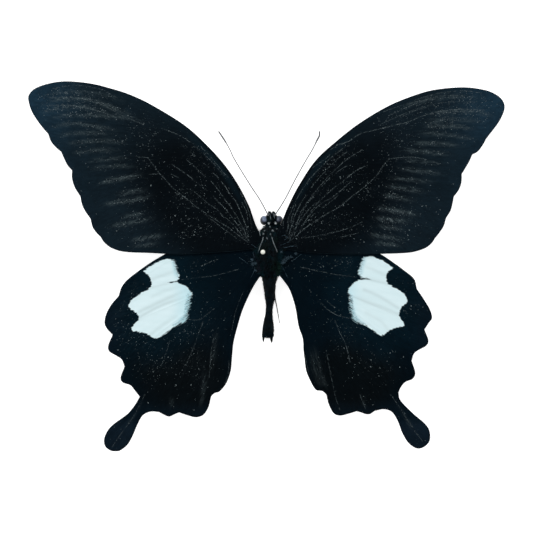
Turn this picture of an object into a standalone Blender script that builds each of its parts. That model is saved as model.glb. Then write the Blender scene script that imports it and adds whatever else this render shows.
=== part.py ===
"""A spread black swallowtail butterfly on a trimmed insect pin, lying back up on a flat surface.

Frame: metres, +Z up, +X along the wing span, +Y towards the head, origin under the middle of
the specimen at the surface it lies on. The lists below are in millimetres.
"""

import bpy
import bmesh
from math import acos, ceil, cos, exp, hypot, pi, radians, sin, sqrt
from mathutils import Vector
from mathutils.geometry import delaunay_2d_cdt

MM = 0.001

# Wing sheet
WING_THICKNESS = 0.26
VEIN_HEIGHT = 0.10
OUTLINE_STEP = 1.7
VEIN_STEP = 2.6
SHEET_GRID = 3.2
VEIN_CLEARANCE = 1.2

# Heights of the wings above the surface, and how far they bend
FOREWING_ROOT_HEIGHT = 6.75
FOREWING_TIP_RISE = 1.2
HINDWING_ROOT_HEIGHT = 6.05
HINDWING_DROOP = 0.9
INNER_FOLD_DROP = 1.0
INNER_FOLD_WIDTH = 3.0
BODY_AXIS_X = 0.6
HALF_SPAN = 59.5

# Insect pin
PIN_X = -0.9
PIN_Y = 3.6
PIN_RADIUS = 0.25
PIN_SHAFT_TOP = 9.3
PIN_HEAD_RADIUS = 0.58
PIN_HEAD_HEIGHT = 9.55
PIN_CLEARANCE = 0.06

# Eyes
EYE_SIZE = (1.02, 1.20, 1.22)
EYE_PLACES = {"left": (-0.60, 11.55, 4.35), "right": (3.12, 11.60, 4.35)}
EYE_CLEARANCE = 0.06

# Half width, and lowest and highest points, of the body at places along it
THORAX = [
    (10.50, 1.12, 0.00, 4.3, 4.3),
    (10.25, 1.12, 1.45, 3.1, 5.6),
    (9.40, 1.05, 2.25, 2.2, 6.7),
    (8.10, 0.90, 2.45, 1.6, 7.6),
    (6.10, 0.70, 2.75, 1.4, 8.1),
    (4.10, 0.55, 2.90, 1.4, 8.3),
    (2.10, 0.50, 2.90, 1.4, 8.0),
    (0.10, 0.55, 2.70, 1.5, 7.4),
    (-1.40, 0.70, 2.30, 1.8, 6.6),
    (-2.00, 0.75, 1.80, 2.3, 5.9),
    (-2.20, 0.80, 0.00, 4.1, 4.1),
]
ABDOMEN = [
    (-2.35, 0.80, 0.00, 4.0, 4.0),
    (-2.60, 0.83, 1.80, 2.1, 5.9),
    (-3.90, 0.75, 1.65, 1.6, 5.7),
    (-5.90, 0.79, 1.42, 1.3, 5.1),
    (-7.90, 0.88, 1.22, 1.05, 4.3),
    (-9.10, 0.82, 0.97, 0.95, 3.8),
    (-10.40, 0.71, 0.84, 0.8, 3.4),
    (-12.10, 0.61, 0.92, 0.45, 3.2),
    (-13.40, 0.50, 1.12, 0.2, 3.15),
    (-15.10, 0.47, 1.40, 0.0, 3.1),
    (-16.60, 0.38, 1.43, 0.1, 2.9),
    (-17.40, 0.35, 1.30, 0.5, 2.6),
    (-17.75, 0.35, 0.00, 1.5, 1.5),
]
HEAD = [
    (13.30, 1.26, 0.00, 4.3, 4.3),
    (13.00, 1.26, 0.95, 3.5, 5.2),
    (12.40, 1.26, 1.30, 3.0, 5.7),
    (11.60, 1.26, 1.45, 2.8, 5.9),
    (10.90, 1.22, 1.30, 2.9, 5.7),
    (10.62, 1.20, 0.00, 4.3, 4.3),
]

# Claspers at the tip of the abdomen, as start, end and the radii there
CLASPERS = [
    ((-0.72, -16.6, 1.35), (-0.82, -19.05, 1.25), 0.42, 0.20),
    ((1.15, -16.6, 1.35), (1.32, -19.25, 1.25), 0.58, 0.22),
]

# Wing outlines, as smooth stretches that meet at the notches
FOREWING_LEFT_OUTLINE = [
    [(-1.6, 8.4), (-2.6, 10.4), (-3.5, 12.9), (-4.4, 15.4), (-7.0, 20.4), (-10.4, 25.4),
     (-14.9, 30.4), (-20.5, 35.4), (-28.6, 40.4), (-34.1, 43.0), (-39.1, 44.6), (-44.1, 45.8),
     (-49.9, 46.3), (-54.1, 45.8), (-57.6, 44.6), (-59.2, 43.1), (-59.5, 41.6), (-58.6, 38.6),
     (-56.6, 35.5), (-54.5, 33.0)],
    [(-54.5, 33.0), (-53.9, 31.3), (-52.6, 29.7), (-51.3, 28.6)],
    [(-51.3, 28.6), (-50.6, 27.0), (-49.7, 25.2), (-48.6, 24.0)],
    [(-48.6, 24.0), (-48.6, 21.9), (-47.9, 19.7), (-46.5, 17.4)],
    [(-46.5, 17.4), (-46.1, 15.4), (-45.2, 13.6), (-44.0, 11.9)],
    [(-44.0, 11.9), (-43.5, 9.9), (-42.6, 8.5), (-41.5, 7.4)],
    [(-41.5, 7.4), (-40.5, 5.9), (-38.6, 4.5), (-35.4, 3.6), (-29.1, 3.3), (-21.6, 3.0),
     (-14.1, 3.4), (-7.9, 3.8), (-4.1, 4.3), (-2.1, 4.9)],
    [(-2.1, 4.9), (-1.6, 8.4)],
]
FOREWING_RIGHT_OUTLINE = [
    [(2.7, 8.4), (3.4, 10.1), (4.1, 12.0), (5.6, 15.6), (8.1, 20.4), (12.1, 26.4), (17.1, 31.1),
     (23.4, 36.0), (30.9, 40.4), (38.4, 43.3), (43.4, 44.4), (49.6, 44.8), (54.6, 44.1),
     (57.3, 43.0), (58.9, 41.6), (59.5, 39.9), (59.0, 37.9), (57.6, 35.4), (54.9, 31.9)],
    [(54.9, 31.9), (53.9, 30.1), (52.7, 28.6), (51.4, 27.9)],
    [(51.4, 27.9), (50.6, 26.1), (49.6, 24.4), (48.8, 23.1)],
    [(48.8, 23.1), (48.7, 21.0), (48.1, 19.2), (46.8, 17.4)],
    [(46.8, 17.4), (46.5, 15.7), (46.0, 13.9), (44.9, 12.1)],
    [(44.9, 12.1), (44.3, 10.1), (43.3, 8.5), (42.1, 7.0)],
    [(42.1, 7.0), (41.3, 5.8), (39.8, 4.6), (37.3, 3.7), (34.6, 3.3), (28.6, 3.1), (19.6, 3.0),
     (10.9, 3.4), (5.9, 4.1), (3.2, 4.9)],
    [(3.2, 4.9), (2.7, 8.4)],
]
HINDWING_LEFT_OUTLINE = [
    [(-2.5, 4.1), (-6.6, 5.9), (-12.9, 6.9), (-19.1, 6.1), (-22.9, 4.6), (-25.9, 2.9),
     (-29.1, 1.0), (-34.1, -2.6), (-36.2, -4.9), (-37.1, -7.4)],
    [(-37.1, -7.4), (-38.9, -9.5), (-40.2, -11.9), (-40.6, -14.1), (-40.0, -15.6), (-38.6, -17.1)],
    [(-38.6, -17.1), (-39.7, -19.8), (-39.4, -21.3), (-37.8, -22.3), (-36.3, -23.3), (-35.6, -25.0)],
    [(-35.6, -25.0), (-36.6, -27.8), (-36.0, -29.1), (-34.1, -29.8), (-32.9, -31.2), (-31.8, -32.6)],
    [(-31.8, -32.6), (-33.0, -34.6), (-34.8, -36.8), (-37.9, -39.1), (-39.6, -40.7), (-40.7, -43.0),
     (-40.5, -45.0), (-39.0, -46.2), (-37.0, -46.3), (-34.9, -44.8), (-33.5, -42.5), (-32.2, -39.5),
     (-30.9, -37.3), (-29.0, -36.4), (-26.9, -36.5)],
    [(-26.9, -36.5), (-25.2, -37.4), (-24.2, -37.6), (-22.9, -37.0), (-21.9, -36.6)],
    [(-21.9, -36.6), (-19.5, -37.4), (-17.6, -37.8), (-15.8, -37.2), (-14.5, -35.3), (-13.8, -32.5)],
    [(-13.8, -32.5), (-12.9, -31.7), (-11.7, -31.3), (-10.0, -29.2), (-8.9, -26.1), (-8.6, -23.1),
     (-8.2, -19.1), (-7.3, -15.4), (-6.0, -11.1), (-4.4, -7.4), (-3.0, -4.7), (-1.8, -2.9)],
    [(-1.8, -2.9), (-1.9, -1.5), (-2.2, 0.1), (-2.5, 2.1), (-2.5, 4.1)],
]
HINDWING_RIGHT_OUTLINE = [
    [(3.5, 4.4), (7.6, 6.1), (13.4, 7.1), (19.6, 6.4), (23.9, 5.1), (28.7, 3.1), (34.6, -1.0),
     (37.0, -3.1), (37.7, -5.6)],
    [(37.7, -5.6), (39.4, -8.1), (41.0, -10.8), (41.5, -12.9), (40.7, -14.1), (39.6, -15.8)],
    [(39.6, -15.8), (40.6, -18.5), (40.0, -19.9), (38.4, -20.8), (37.0, -21.8), (36.4, -23.6)],
    [(36.4, -23.6), (37.3, -26.6), (36.6, -28.2), (34.9, -28.9), (33.7, -30.2), (33.1, -31.6)],
    [(33.1, -31.6), (33.6, -33.5), (36.6, -36.6), (39.7, -39.3), (40.9, -41.2), (40.9, -43.7),
     (39.4, -45.3), (37.5, -45.6), (35.4, -44.1), (33.9, -41.6), (32.8, -38.7), (31.4, -36.5),
     (29.4, -35.8), (27.1, -36.2)],
    [(27.1, -36.2), (25.9, -37.0), (24.8, -37.0), (23.7, -36.6), (22.6, -36.3)],
    [(22.6, -36.3), (20.6, -36.9), (18.4, -37.4), (16.8, -36.8), (15.6, -34.7), (14.9, -32.0)],
    [(14.9, -32.0), (13.9, -31.2), (12.3, -30.9), (10.9, -28.6), (9.9, -26.2), (9.5, -23.4),
     (9.2, -20.9), (9.0, -18.0), (8.0, -15.0), (7.3, -10.9), (6.6, -8.2), (5.5, -5.4), (3.3, -2.4)],
    [(3.3, -2.4), (3.1, -1.4), (3.3, 0.1), (3.5, 2.1), (3.5, 4.4)],
]

# Veins on the left
FOREWING_VEINS = [
    [(-3.4, 9.8), (-6.0, 16.0), (-10.4, 23.4), (-15.4, 28.9), (-21.6, 33.1), (-25.4, 34.4),
     (-35.0, 38.6), (-46.0, 42.8), (-56.5, 42.9)],
    [(-25.4, 34.4), (-28.2, 32.4), (-29.3, 29.8), (-29.1, 27.1)],
    [(-27.2, 33.4), (-40.0, 35.9), (-55.3, 35.6)],
    [(-29.3, 29.8), (-41.0, 30.9), (-52.0, 30.6)],
    [(-29.1, 27.1), (-31.6, 27.5), (-40.0, 27.2), (-49.0, 25.9)],
    [(-3.4, 7.3), (-15.4, 14.6), (-19.1, 16.1), (-21.6, 18.4), (-24.1, 20.4), (-26.6, 23.4),
     (-29.1, 27.1)],
    [(-26.6, 23.4), (-29.1, 23.0), (-38.0, 22.2), (-47.4, 21.3)],
    [(-21.6, 18.4), (-33.0, 16.8), (-44.6, 14.8)],
    [(-3.6, 5.9), (-20.0, 7.4), (-38.4, 5.9)],
]
HINDWING_VEINS = [
    [(-4.0, 2.8), (-12.0, 4.2), (-22.0, 2.4), (-29.0, -1.2), (-35.0, -5.6)],
    [(-3.6, 0.9), (-6.6, -1.1), (-11.1, -2.1), (-16.6, -2.9), (-21.1, -3.6), (-26.6, -4.6),
     (-30.5, -6.2), (-39.2, -13.2)],
    [(-21.1, -3.6), (-19.6, -7.9), (-18.6, -13.6)],
    [(-19.6, -7.9), (-31.9, -13.4), (-38.2, -19.4)],
    [(-19.1, -10.8), (-28.6, -18.2), (-35.2, -27.2)],
    [(-18.6, -13.6), (-25.4, -21.4), (-30.2, -32.4), (-33.4, -37.9), (-37.4, -43.6)],
    [(-3.8, -1.2), (-9.0, -6.6), (-12.9, -10.6), (-15.6, -12.5), (-18.6, -13.6)],
    [(-15.6, -12.5), (-17.3, -18.2), (-20.6, -27.0), (-24.2, -36.2)],
    [(-12.9, -10.6), (-13.6, -20.9), (-17.2, -36.2)],
    [(-3.4, -2.4), (-7.9, -10.4), (-10.0, -19.0), (-12.2, -29.8)],
]

# How the veins of each right wing lie against the left ones: mirrored, moved, turned about the root
# and scaled
FOREWING_TO_RIGHT = {"mirror": 0.435, "rise": -0.075, "turn": -0.66, "scale": 0.982, "root": (2.81, 6.55)}
HINDWING_TO_RIGHT = {"mirror": 0.755, "rise": 1.52, "turn": -0.95, "scale": 1.005, "root": (3.13, 1.89)}
ROOT_GAP = 0.15

# Antennae and mouthparts
ANTENNA_RADIUS = 0.13
ANTENNA_CLUB_RADIUS = 0.23
ANTENNA_CLUB_START = 0.84
ANTENNAE = {
    "left": [(0.50, 12.7, 5.42), (-1.6, 16.6, 6.2), (-4.1, 20.4, 6.9), (-7.9, 26.6, 7.4),
             (-9.1, 29.1, 7.5), (-10.4, 31.4, 7.5), (-12.0, 33.8, 7.4)],
    "right": [(2.02, 12.7, 5.42), (4.6, 16.8, 6.2), (7.1, 21.6, 6.9), (9.6, 26.1, 7.3),
              (11.4, 29.1, 7.4), (12.6, 31.5, 7.4), (13.2, 32.7, 7.3), (13.2, 33.9, 7.2)],
}
PALP_RADIUS = 0.36
PALPS = {
    "left": [(0.62, 11.7, 2.15), (0.66, 12.6, 2.35), (0.72, 13.4, 3.1), (0.74, 13.6, 3.6)],
    "right": [(1.90, 11.7, 2.15), (1.86, 12.6, 2.35), (1.80, 13.4, 3.1), (1.78, 13.6, 3.6)],
}
PROBOSCIS_RADIUS = 0.10
PROBOSCIS_CENTRE = (1.26, 11.9, 1.95)
PROBOSCIS_COIL = (0.22, 0.66)
PROBOSCIS_TURNS = 1.75

# Legs, from hip to claw, with the radius at each point
LEGS = {
    "leg_front_left": [(0.2, 6.6, 0.98, 0.30), (-2.9, 7.3, 1.00, 0.26), (-4.4, 10.2, 0.42, 0.19),
                       (-4.9, 11.6, 0.22, 0.14), (-5.2, 13.2, 0.12, 0.12)],
    "leg_front_right": [(1.3, 6.6, 0.98, 0.30), (4.5, 7.3, 1.00, 0.26), (6.1, 10.2, 0.42, 0.19),
                        (6.6, 11.6, 0.22, 0.14), (7.0, 13.2, 0.12, 0.12)],
    "leg_middle_left": [(0.0, 2.5, 0.98, 0.30), (-3.9, 1.7, 1.15, 0.27), (-5.6, -0.6, 0.42, 0.20),
                        (-6.1, -1.7, 0.22, 0.14), (-6.6, -3.0, 0.12, 0.12)],
    "leg_middle_right": [(1.1, 2.5, 0.98, 0.30), (5.0, 1.7, 1.15, 0.27), (6.6, -0.6, 0.42, 0.20),
                         (7.1, -1.7, 0.22, 0.14), (7.5, -3.0, 0.12, 0.12)],
    "leg_hind_left": [(0.1, 0.5, 0.98, 0.30), (-1.9, -1.3, 1.05, 0.27), (-4.5, -4.4, 0.42, 0.20),
                      (-5.3, -5.6, 0.22, 0.14), (-6.2, -7.0, 0.12, 0.12)],
    "leg_hind_right": [(1.1, 0.5, 0.98, 0.30), (1.8, -3.4, 0.80, 0.25), (2.15, -8.0, 0.42, 0.18),
                       (2.6, -10.2, 0.22, 0.14), (2.95, -12.2, 0.16, 0.11), (3.28, -14.1, 0.12, 0.07)],
}

# Material, colour and roughness of each kind of piece
LOOKS = {
    "forewing_scales": ((0.010, 0.018, 0.025), 0.62),
    "hindwing_scales": ((0.003, 0.006, 0.010), 0.60),
    "body_fuzz": ((0.006, 0.010, 0.012), 0.80),
    "leg_shell": ((0.020, 0.022, 0.024), 0.55),
    "antenna_shell": ((0.030, 0.032, 0.034), 0.50),
    "eye_facets": ((0.080, 0.085, 0.150), 0.22),
    "pin_enamel": ((0.780, 0.790, 0.740), 0.25),
}


def clear_scene():
    for item in list(bpy.data.objects):
        bpy.data.objects.remove(item, do_unlink=True)


def new_collection(name):
    collection = bpy.data.collections.new(name)
    bpy.context.scene.collection.children.link(collection)
    return collection


def make_materials():
    materials = {}
    for name, (colour, roughness) in LOOKS.items():
        material = bpy.data.materials.new(name)
        material.use_nodes = True
        shader = material.node_tree.nodes["Principled BSDF"]
        shader.inputs["Base Color"].default_value = (*colour, 1.0)
        shader.inputs["Roughness"].default_value = roughness
        materials[name] = material
    return materials


def add_mesh(name, mesh, collection, material=None):
    item = bpy.data.objects.new(name, mesh)
    collection.objects.link(item)
    if material:
        mesh.materials.append(material)
    return item


def smooth_curve(points, step):
    """Points about a step apart on a smooth curve through the given ones."""
    points = [Vector(p) for p in points]
    first = 2 * points[0] - points[1]
    last = 2 * points[-1] - points[-2]
    ends = [first] + points + [last]
    curve = []
    for before, start, end, after in zip(ends, ends[1:], ends[2:], ends[3:]):
        pieces = max(1, ceil((end - start).length / step - 0.35))
        for k in range(pieces):
            t = k / pieces
            bend = (2 * before - 5 * start + 4 * end - after) * t * t
            twist = (3 * start - before - 3 * end + after) * t ** 3
            curve.append(0.5 * (2 * start + (end - before) * t + bend + twist))
    curve.append(points[-1])
    return curve


def closed_outline(stretches):
    outline = []
    for stretch in stretches:
        outline += smooth_curve(stretch, OUTLINE_STEP)[:-1]
    return outline


def to_right(point, fit):
    """Where a point of a left wing falls on the right one."""
    root = Vector(fit["root"])
    mirrored = Vector((fit["mirror"] - point[0], point[1] + fit["rise"])) - root
    turn = radians(fit["turn"])
    turned = Vector((mirrored.x * cos(turn) - mirrored.y * sin(turn),
                     mirrored.x * sin(turn) + mirrored.y * cos(turn)))
    return root + turned * fit["scale"]


def forewing_height(point):
    span = (point[0] - BODY_AXIS_X) / HALF_SPAN
    wave = 0.16 * sin(0.19 * abs(point[0]) + 0.6) * cos(0.15 * point[1])
    return FOREWING_ROOT_HEIGHT + FOREWING_TIP_RISE * span * span + wave * min(1.0, abs(span) * 5)


def hindwing_height(point):
    across = abs(point[0] - BODY_AXIS_X)
    reach = hypot(across, point[1]) / HALF_SPAN
    height = HINDWING_ROOT_HEIGHT - HINDWING_DROOP * reach * reach
    if point[1] < -2.4:
        inner_edge = 2.4 + 6.2 * (1 - exp((point[1] + 2.4) / 7))
        fold = min(1.0, max(0.0, 1 - (across - inner_edge) / INNER_FOLD_WIDTH))
        height -= INNER_FOLD_DROP * fold * fold * min(1.0, (-2.4 - point[1]) / 4)
    return height


def body_side(stations, y, z):
    """The middle of a body and its half width at one place along it and one height."""
    for near, far in zip(stations, stations[1:]):
        if far[0] <= y <= near[0]:
            t = (near[0] - y) / (near[0] - far[0])
            middle, half, low, high = [a + (b - a) * t for a, b in zip(near[1:], far[1:])]
            level = (z - (low + high) / 2) / max(0.01, (high - low) / 2)
            return middle, half * sqrt(max(0.0, 1 - level * level))
    return BODY_AXIS_X, 0.0


def clear_of_thorax(point, height, side):
    middle, half = body_side(THORAX, point[1], height)
    limit = middle + side * (half + ROOT_GAP)
    return Vector((side * max(side * point[0], side * limit), point[1]))


def wing(name, outline, veins, height, side, collection, material):
    """A thin curved sheet inside the outline, with its veins as low ridges."""
    outline = [clear_of_thorax(p, height(p) - WING_THICKNESS, side) for p in outline]
    points = list(outline)
    edges = []
    vein_points = []
    for vein in veins:
        line = smooth_curve(vein, VEIN_STEP)
        start = len(points)
        points += line
        vein_points += line
        edges += [(start + k, start + k + 1) for k in range(len(line) - 1)]
    low_x = min(p.x for p in outline)
    high_x = max(p.x for p in outline)
    low_y = min(p.y for p in outline)
    high_y = max(p.y for p in outline)
    for row in range(int((high_y - low_y) / SHEET_GRID) + 1):
        for column in range(int((high_x - low_x) / SHEET_GRID) + 1):
            shift = 0.5 * (row % 2)
            spot = Vector((low_x + SHEET_GRID * (column + shift), low_y + SHEET_GRID * (row + 0.4)))
            if min((spot - p).length for p in vein_points + outline) > VEIN_CLEARANCE:
                points.append(spot)
    rim = list(range(len(outline)))
    sheet = delaunay_2d_cdt(points, edges, [rim], 1, 1e-4)
    verts, faces, origins = sheet[0], sheet[2], sheet[3]
    first_vein = len(outline)
    last_vein = first_vein + len(vein_points)
    places = []
    for spot, origin in zip(verts, origins):
        on_vein = any(first_vein <= k < last_vein for k in origin) or not origin
        places.append((spot.x * MM, spot.y * MM, (height(spot) + VEIN_HEIGHT * on_vein) * MM))
    mesh = bpy.data.meshes.new(name)
    mesh.from_pydata(places, [], faces)
    item = add_mesh(name, mesh, collection, material)
    tidy_mesh(mesh)
    shell = item.modifiers.new("sheet", "SOLIDIFY")
    shell.thickness = WING_THICKNESS * MM
    shell.offset = 0.0
    mesh.shade_smooth()
    mesh.set_sharp_from_angle(angle=radians(40))
    return item


def tidy_mesh(mesh):
    work = bmesh.new()
    work.from_mesh(mesh)
    bmesh.ops.recalc_face_normals(work, faces=work.faces)
    work.to_mesh(mesh)
    work.free()


def station_at(stations, t):
    """The body's measures at a share of the way along its list, smoothly between the stations."""
    place = t * (len(stations) - 1)
    k = min(int(place), len(stations) - 2)
    f = place - k
    before = stations[max(k - 1, 0)]
    after = stations[min(k + 2, len(stations) - 1)]
    ease = []
    for a, b, c, d in zip(before, stations[k], stations[k + 1], after):
        bend = (2 * a - 5 * b + 4 * c - d) * f * f
        twist = (3 * b - a - 3 * c + d) * f ** 3
        ease.append(0.5 * (2 * b + (c - a) * f + bend + twist))
    return ease


def body(name, stations, around, rings, collection, material):
    """A sphere whose rings are set to the body's width and height along its length."""
    work = bmesh.new()
    bmesh.ops.create_uvsphere(work, u_segments=around, v_segments=rings, radius=1.0)
    for vert in work.verts:
        along = acos(max(-1.0, min(1.0, vert.co.z))) / pi
        y, middle, half, low, high = station_at(stations, along)
        out = Vector((vert.co.x, vert.co.y))
        if out.length > 1e-4:
            out.normalize()
        else:
            out = Vector((0, 0))
        vert.co = Vector((middle - half * out.x, y, (low + high) / 2 + (high - low) / 2 * out.y)) * MM
    mesh = bpy.data.meshes.new(name)
    work.to_mesh(mesh)
    work.free()
    tidy_mesh(mesh)
    mesh.shade_smooth()
    return add_mesh(name, mesh, collection, material)


def ball(name, centre, size, around, rings, collection, material=None):
    work = bmesh.new()
    bmesh.ops.create_uvsphere(work, u_segments=around, v_segments=rings, radius=1.0)
    bmesh.ops.scale(work, vec=Vector(size) * MM, verts=work.verts)
    mesh = bpy.data.meshes.new(name)
    work.to_mesh(mesh)
    work.free()
    mesh.shade_smooth()
    item = add_mesh(name, mesh, collection, material)
    item.location = Vector(centre) * MM
    return item


def tube(name, points, radii, collection, material):
    """A round wire through the points, with a radius at each one."""
    data = bpy.data.curves.new(name, "CURVE")
    data.dimensions = "3D"
    data.bevel_depth = MM
    data.bevel_resolution = 2
    data.use_fill_caps = True
    line = data.splines.new("POLY")
    line.points.add(len(points) - 1)
    for spot, place, radius in zip(line.points, points, radii):
        spot.co = (*(Vector(place) * MM), 1.0)
        spot.radius = radius
    item = bpy.data.objects.new(name, data)
    collection.objects.link(item)
    data.materials.append(material)
    return item


def boolean(item, other, operation):
    cut = item.modifiers.new(other.name, "BOOLEAN")
    cut.operation = operation
    cut.object = other
    cut.solver = "EXACT"
    other.hide_render = True
    other.display_type = "WIRE"


def make_wings(collection, materials):
    fore_left = closed_outline(FOREWING_LEFT_OUTLINE)
    fore_right = closed_outline(FOREWING_RIGHT_OUTLINE)
    fore_veins_right = [[to_right(p, FOREWING_TO_RIGHT) for p in vein] for vein in FOREWING_VEINS]
    hind_veins_right = [[to_right(p, HINDWING_TO_RIGHT) for p in vein] for vein in HINDWING_VEINS]
    hind_left = closed_outline(HINDWING_LEFT_OUTLINE)
    hind_right = closed_outline(HINDWING_RIGHT_OUTLINE)
    upper = materials["forewing_scales"]
    lower = materials["hindwing_scales"]
    wing("forewing_left", fore_left, FOREWING_VEINS, forewing_height, -1, collection, upper)
    wing("forewing_right", fore_right, fore_veins_right, forewing_height, 1, collection, upper)
    wing("hindwing_left", hind_left, HINDWING_VEINS, hindwing_height, -1, collection, lower)
    wing("hindwing_right", hind_right, hind_veins_right, hindwing_height, 1, collection, lower)


def make_thorax(collection, cutters, material):
    thorax = body("thorax", THORAX, 22, 18, collection, material)
    hole = bmesh.new()
    radius = (PIN_RADIUS + PIN_CLEARANCE) * MM
    bmesh.ops.create_cone(hole, cap_ends=True, segments=16, radius1=radius, radius2=radius, depth=20 * MM)
    mesh = bpy.data.meshes.new("pin_hole")
    hole.to_mesh(mesh)
    hole.free()
    cutter = add_mesh("pin_hole", mesh, cutters)
    cutter.location = Vector((PIN_X, PIN_Y, 5.0)) * MM
    boolean(thorax, cutter, "DIFFERENCE")


def make_head(collection, cutters, materials):
    head = body("head", HEAD, 20, 12, collection, materials["body_fuzz"])
    for side, place in EYE_PLACES.items():
        ball("eye_" + side, place, EYE_SIZE, 16, 10, collection, materials["eye_facets"])
        socket = [half + EYE_CLEARANCE for half in EYE_SIZE]
        boolean(head, ball("socket_" + side, place, socket, 16, 10, cutters), "DIFFERENCE")


def make_abdomen(collection, cutters, material):
    abdomen = body("abdomen", ABDOMEN, 16, 24, collection, material)
    for number, (start, end, wide, narrow) in enumerate(CLASPERS):
        line = Vector(end) - Vector(start)
        cone = bmesh.new()
        bmesh.ops.create_cone(cone, cap_ends=True, segments=12, radius1=wide * MM, radius2=narrow * MM,
                              depth=line.length * MM)
        mesh = bpy.data.meshes.new("clasper")
        cone.to_mesh(mesh)
        cone.free()
        clasper = add_mesh("clasper_" + str(number), mesh, cutters)
        clasper.location = (Vector(start) + line / 2) * MM
        clasper.rotation_euler = line.to_track_quat("Z", "Y").to_euler()
        boolean(abdomen, clasper, "UNION")


def make_antennae(collection, material):
    for side, points in ANTENNAE.items():
        line = smooth_curve(points, 2.2)
        radii = []
        for k in range(len(line)):
            share = k / (len(line) - 1)
            club = max(0.0, (share - ANTENNA_CLUB_START) / (1 - ANTENNA_CLUB_START))
            radii.append(ANTENNA_RADIUS + (ANTENNA_CLUB_RADIUS - ANTENNA_RADIUS) * sin(pi * min(club, 0.75)))
        tube("antenna_" + side, line, radii, collection, material)


def make_mouthparts(collection, materials):
    for side, points in PALPS.items():
        line = smooth_curve(points, 0.3)
        radii = [PALP_RADIUS * (0.5 + 0.5 * sin(pi * (k + 1) / (len(line) + 1))) for k in range(len(line))]
        tube("palp_" + side, line, radii, collection, materials["body_fuzz"])
    x, y, z = PROBOSCIS_CENTRE
    inner, outer = PROBOSCIS_COIL
    coil = []
    steps = 20
    for k in range(steps + 1):
        share = k / steps
        angle = radians(80) + 2 * pi * PROBOSCIS_TURNS * share
        radius = outer + (inner - outer) * share
        coil.append((x, y - radius * cos(angle), z + radius * sin(angle)))
    tube("proboscis", coil, [PROBOSCIS_RADIUS] * len(coil), collection, materials["antenna_shell"])


def make_legs(collection, material):
    for name, joints in LEGS.items():
        points = []
        radii = []
        for near, far in zip(joints, joints[1:]):
            for k in range(3):
                points.append(Vector(near[:3]).lerp(Vector(far[:3]), k / 3))
                radii.append((near[3] + (far[3] - near[3]) * k / 3) * (1.0 if k else 0.86))
        points.append(Vector(joints[-1][:3]))
        radii.append(joints[-1][3])
        tube(name, points, radii, collection, material)


def make_pin(collection, material):
    """The trimmed pin, turned as one profile from the middle of its head to its cut end."""
    profile = []
    steps = 10
    for k in range(steps):
        angle = pi * k / steps
        radius = PIN_HEAD_RADIUS * sin(angle)
        if k > steps / 2 and radius < PIN_RADIUS:
            break
        profile.append((radius, PIN_HEAD_HEIGHT + 0.85 * PIN_HEAD_RADIUS * cos(angle)))
    profile += [(PIN_RADIUS, PIN_SHAFT_TOP - 0.2), (PIN_RADIUS, 0.0), (0.0, 0.0)]
    mesh = bpy.data.meshes.new("insect_pin")
    points = [(x * MM, 0.0, z * MM) for x, z in profile]
    mesh.from_pydata(points, [(k, k + 1) for k in range(len(points) - 1)], [])
    pin = add_mesh("insect_pin", mesh, collection, material)
    pin.location = Vector((PIN_X, PIN_Y, 0.0)) * MM
    turn = pin.modifiers.new("turn", "SCREW")
    turn.axis = "Z"
    turn.steps = 14
    turn.render_steps = 14
    turn.use_merge_vertices = True
    turn.merge_threshold = 1e-6
    turn.use_smooth_shade = True


def main():
    clear_scene()
    parts = new_collection("butterfly_specimen")
    cutters = new_collection("cutters")
    materials = make_materials()
    make_wings(parts, materials)
    make_thorax(parts, cutters, materials["body_fuzz"])
    make_head(parts, cutters, materials)
    make_abdomen(parts, cutters, materials["body_fuzz"])
    make_antennae(parts, materials["antenna_shell"])
    make_mouthparts(parts, materials)
    make_legs(parts, materials["leg_shell"])
    make_pin(parts, materials["pin_enamel"])


main()
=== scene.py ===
"""The finished look of a spread swallowtail butterfly specimen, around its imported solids.

Object places are in millimetres and markings in pixels of the photograph, unless a line says otherwise.
"""

from math import ceil, cos, hypot, pi, radians, sin

import bmesh
import bpy
import numpy as np
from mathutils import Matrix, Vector
from mathutils.geometry import delaunay_2d_cdt


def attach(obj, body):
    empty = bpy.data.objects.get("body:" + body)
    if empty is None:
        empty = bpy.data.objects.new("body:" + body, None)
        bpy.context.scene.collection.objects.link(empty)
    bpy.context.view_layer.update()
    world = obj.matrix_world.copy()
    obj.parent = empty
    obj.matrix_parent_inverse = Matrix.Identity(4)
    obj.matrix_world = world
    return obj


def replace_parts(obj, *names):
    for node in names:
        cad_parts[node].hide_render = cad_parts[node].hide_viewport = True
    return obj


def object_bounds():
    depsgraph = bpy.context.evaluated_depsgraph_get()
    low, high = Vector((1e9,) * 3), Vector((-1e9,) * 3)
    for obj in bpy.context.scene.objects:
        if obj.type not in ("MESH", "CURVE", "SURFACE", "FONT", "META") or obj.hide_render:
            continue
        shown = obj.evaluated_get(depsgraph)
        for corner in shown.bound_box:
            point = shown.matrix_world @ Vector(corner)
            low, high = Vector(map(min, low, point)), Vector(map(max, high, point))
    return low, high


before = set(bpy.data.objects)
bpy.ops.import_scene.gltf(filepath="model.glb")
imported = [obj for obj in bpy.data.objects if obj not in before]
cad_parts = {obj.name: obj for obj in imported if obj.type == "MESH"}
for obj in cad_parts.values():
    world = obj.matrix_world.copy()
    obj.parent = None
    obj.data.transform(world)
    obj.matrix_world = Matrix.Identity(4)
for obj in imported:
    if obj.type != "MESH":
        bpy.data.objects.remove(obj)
cad_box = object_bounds()

MM = 0.001
BOX_LOW = np.array(cad_box[0]) / MM
BOX_HIGH = np.array(cad_box[1]) / MM
SEED = 20

# The photograph's scale on the specimen, and where its middle falls
PIXEL = 0.25
PHOTO_MIDDLE = 266.5

# Camera
CAMERA_HEIGHT = 700.0
VIEW_WIDTH = 133.25
VIEW_LEVEL = 6.5
SENSOR = 36.0

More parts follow.
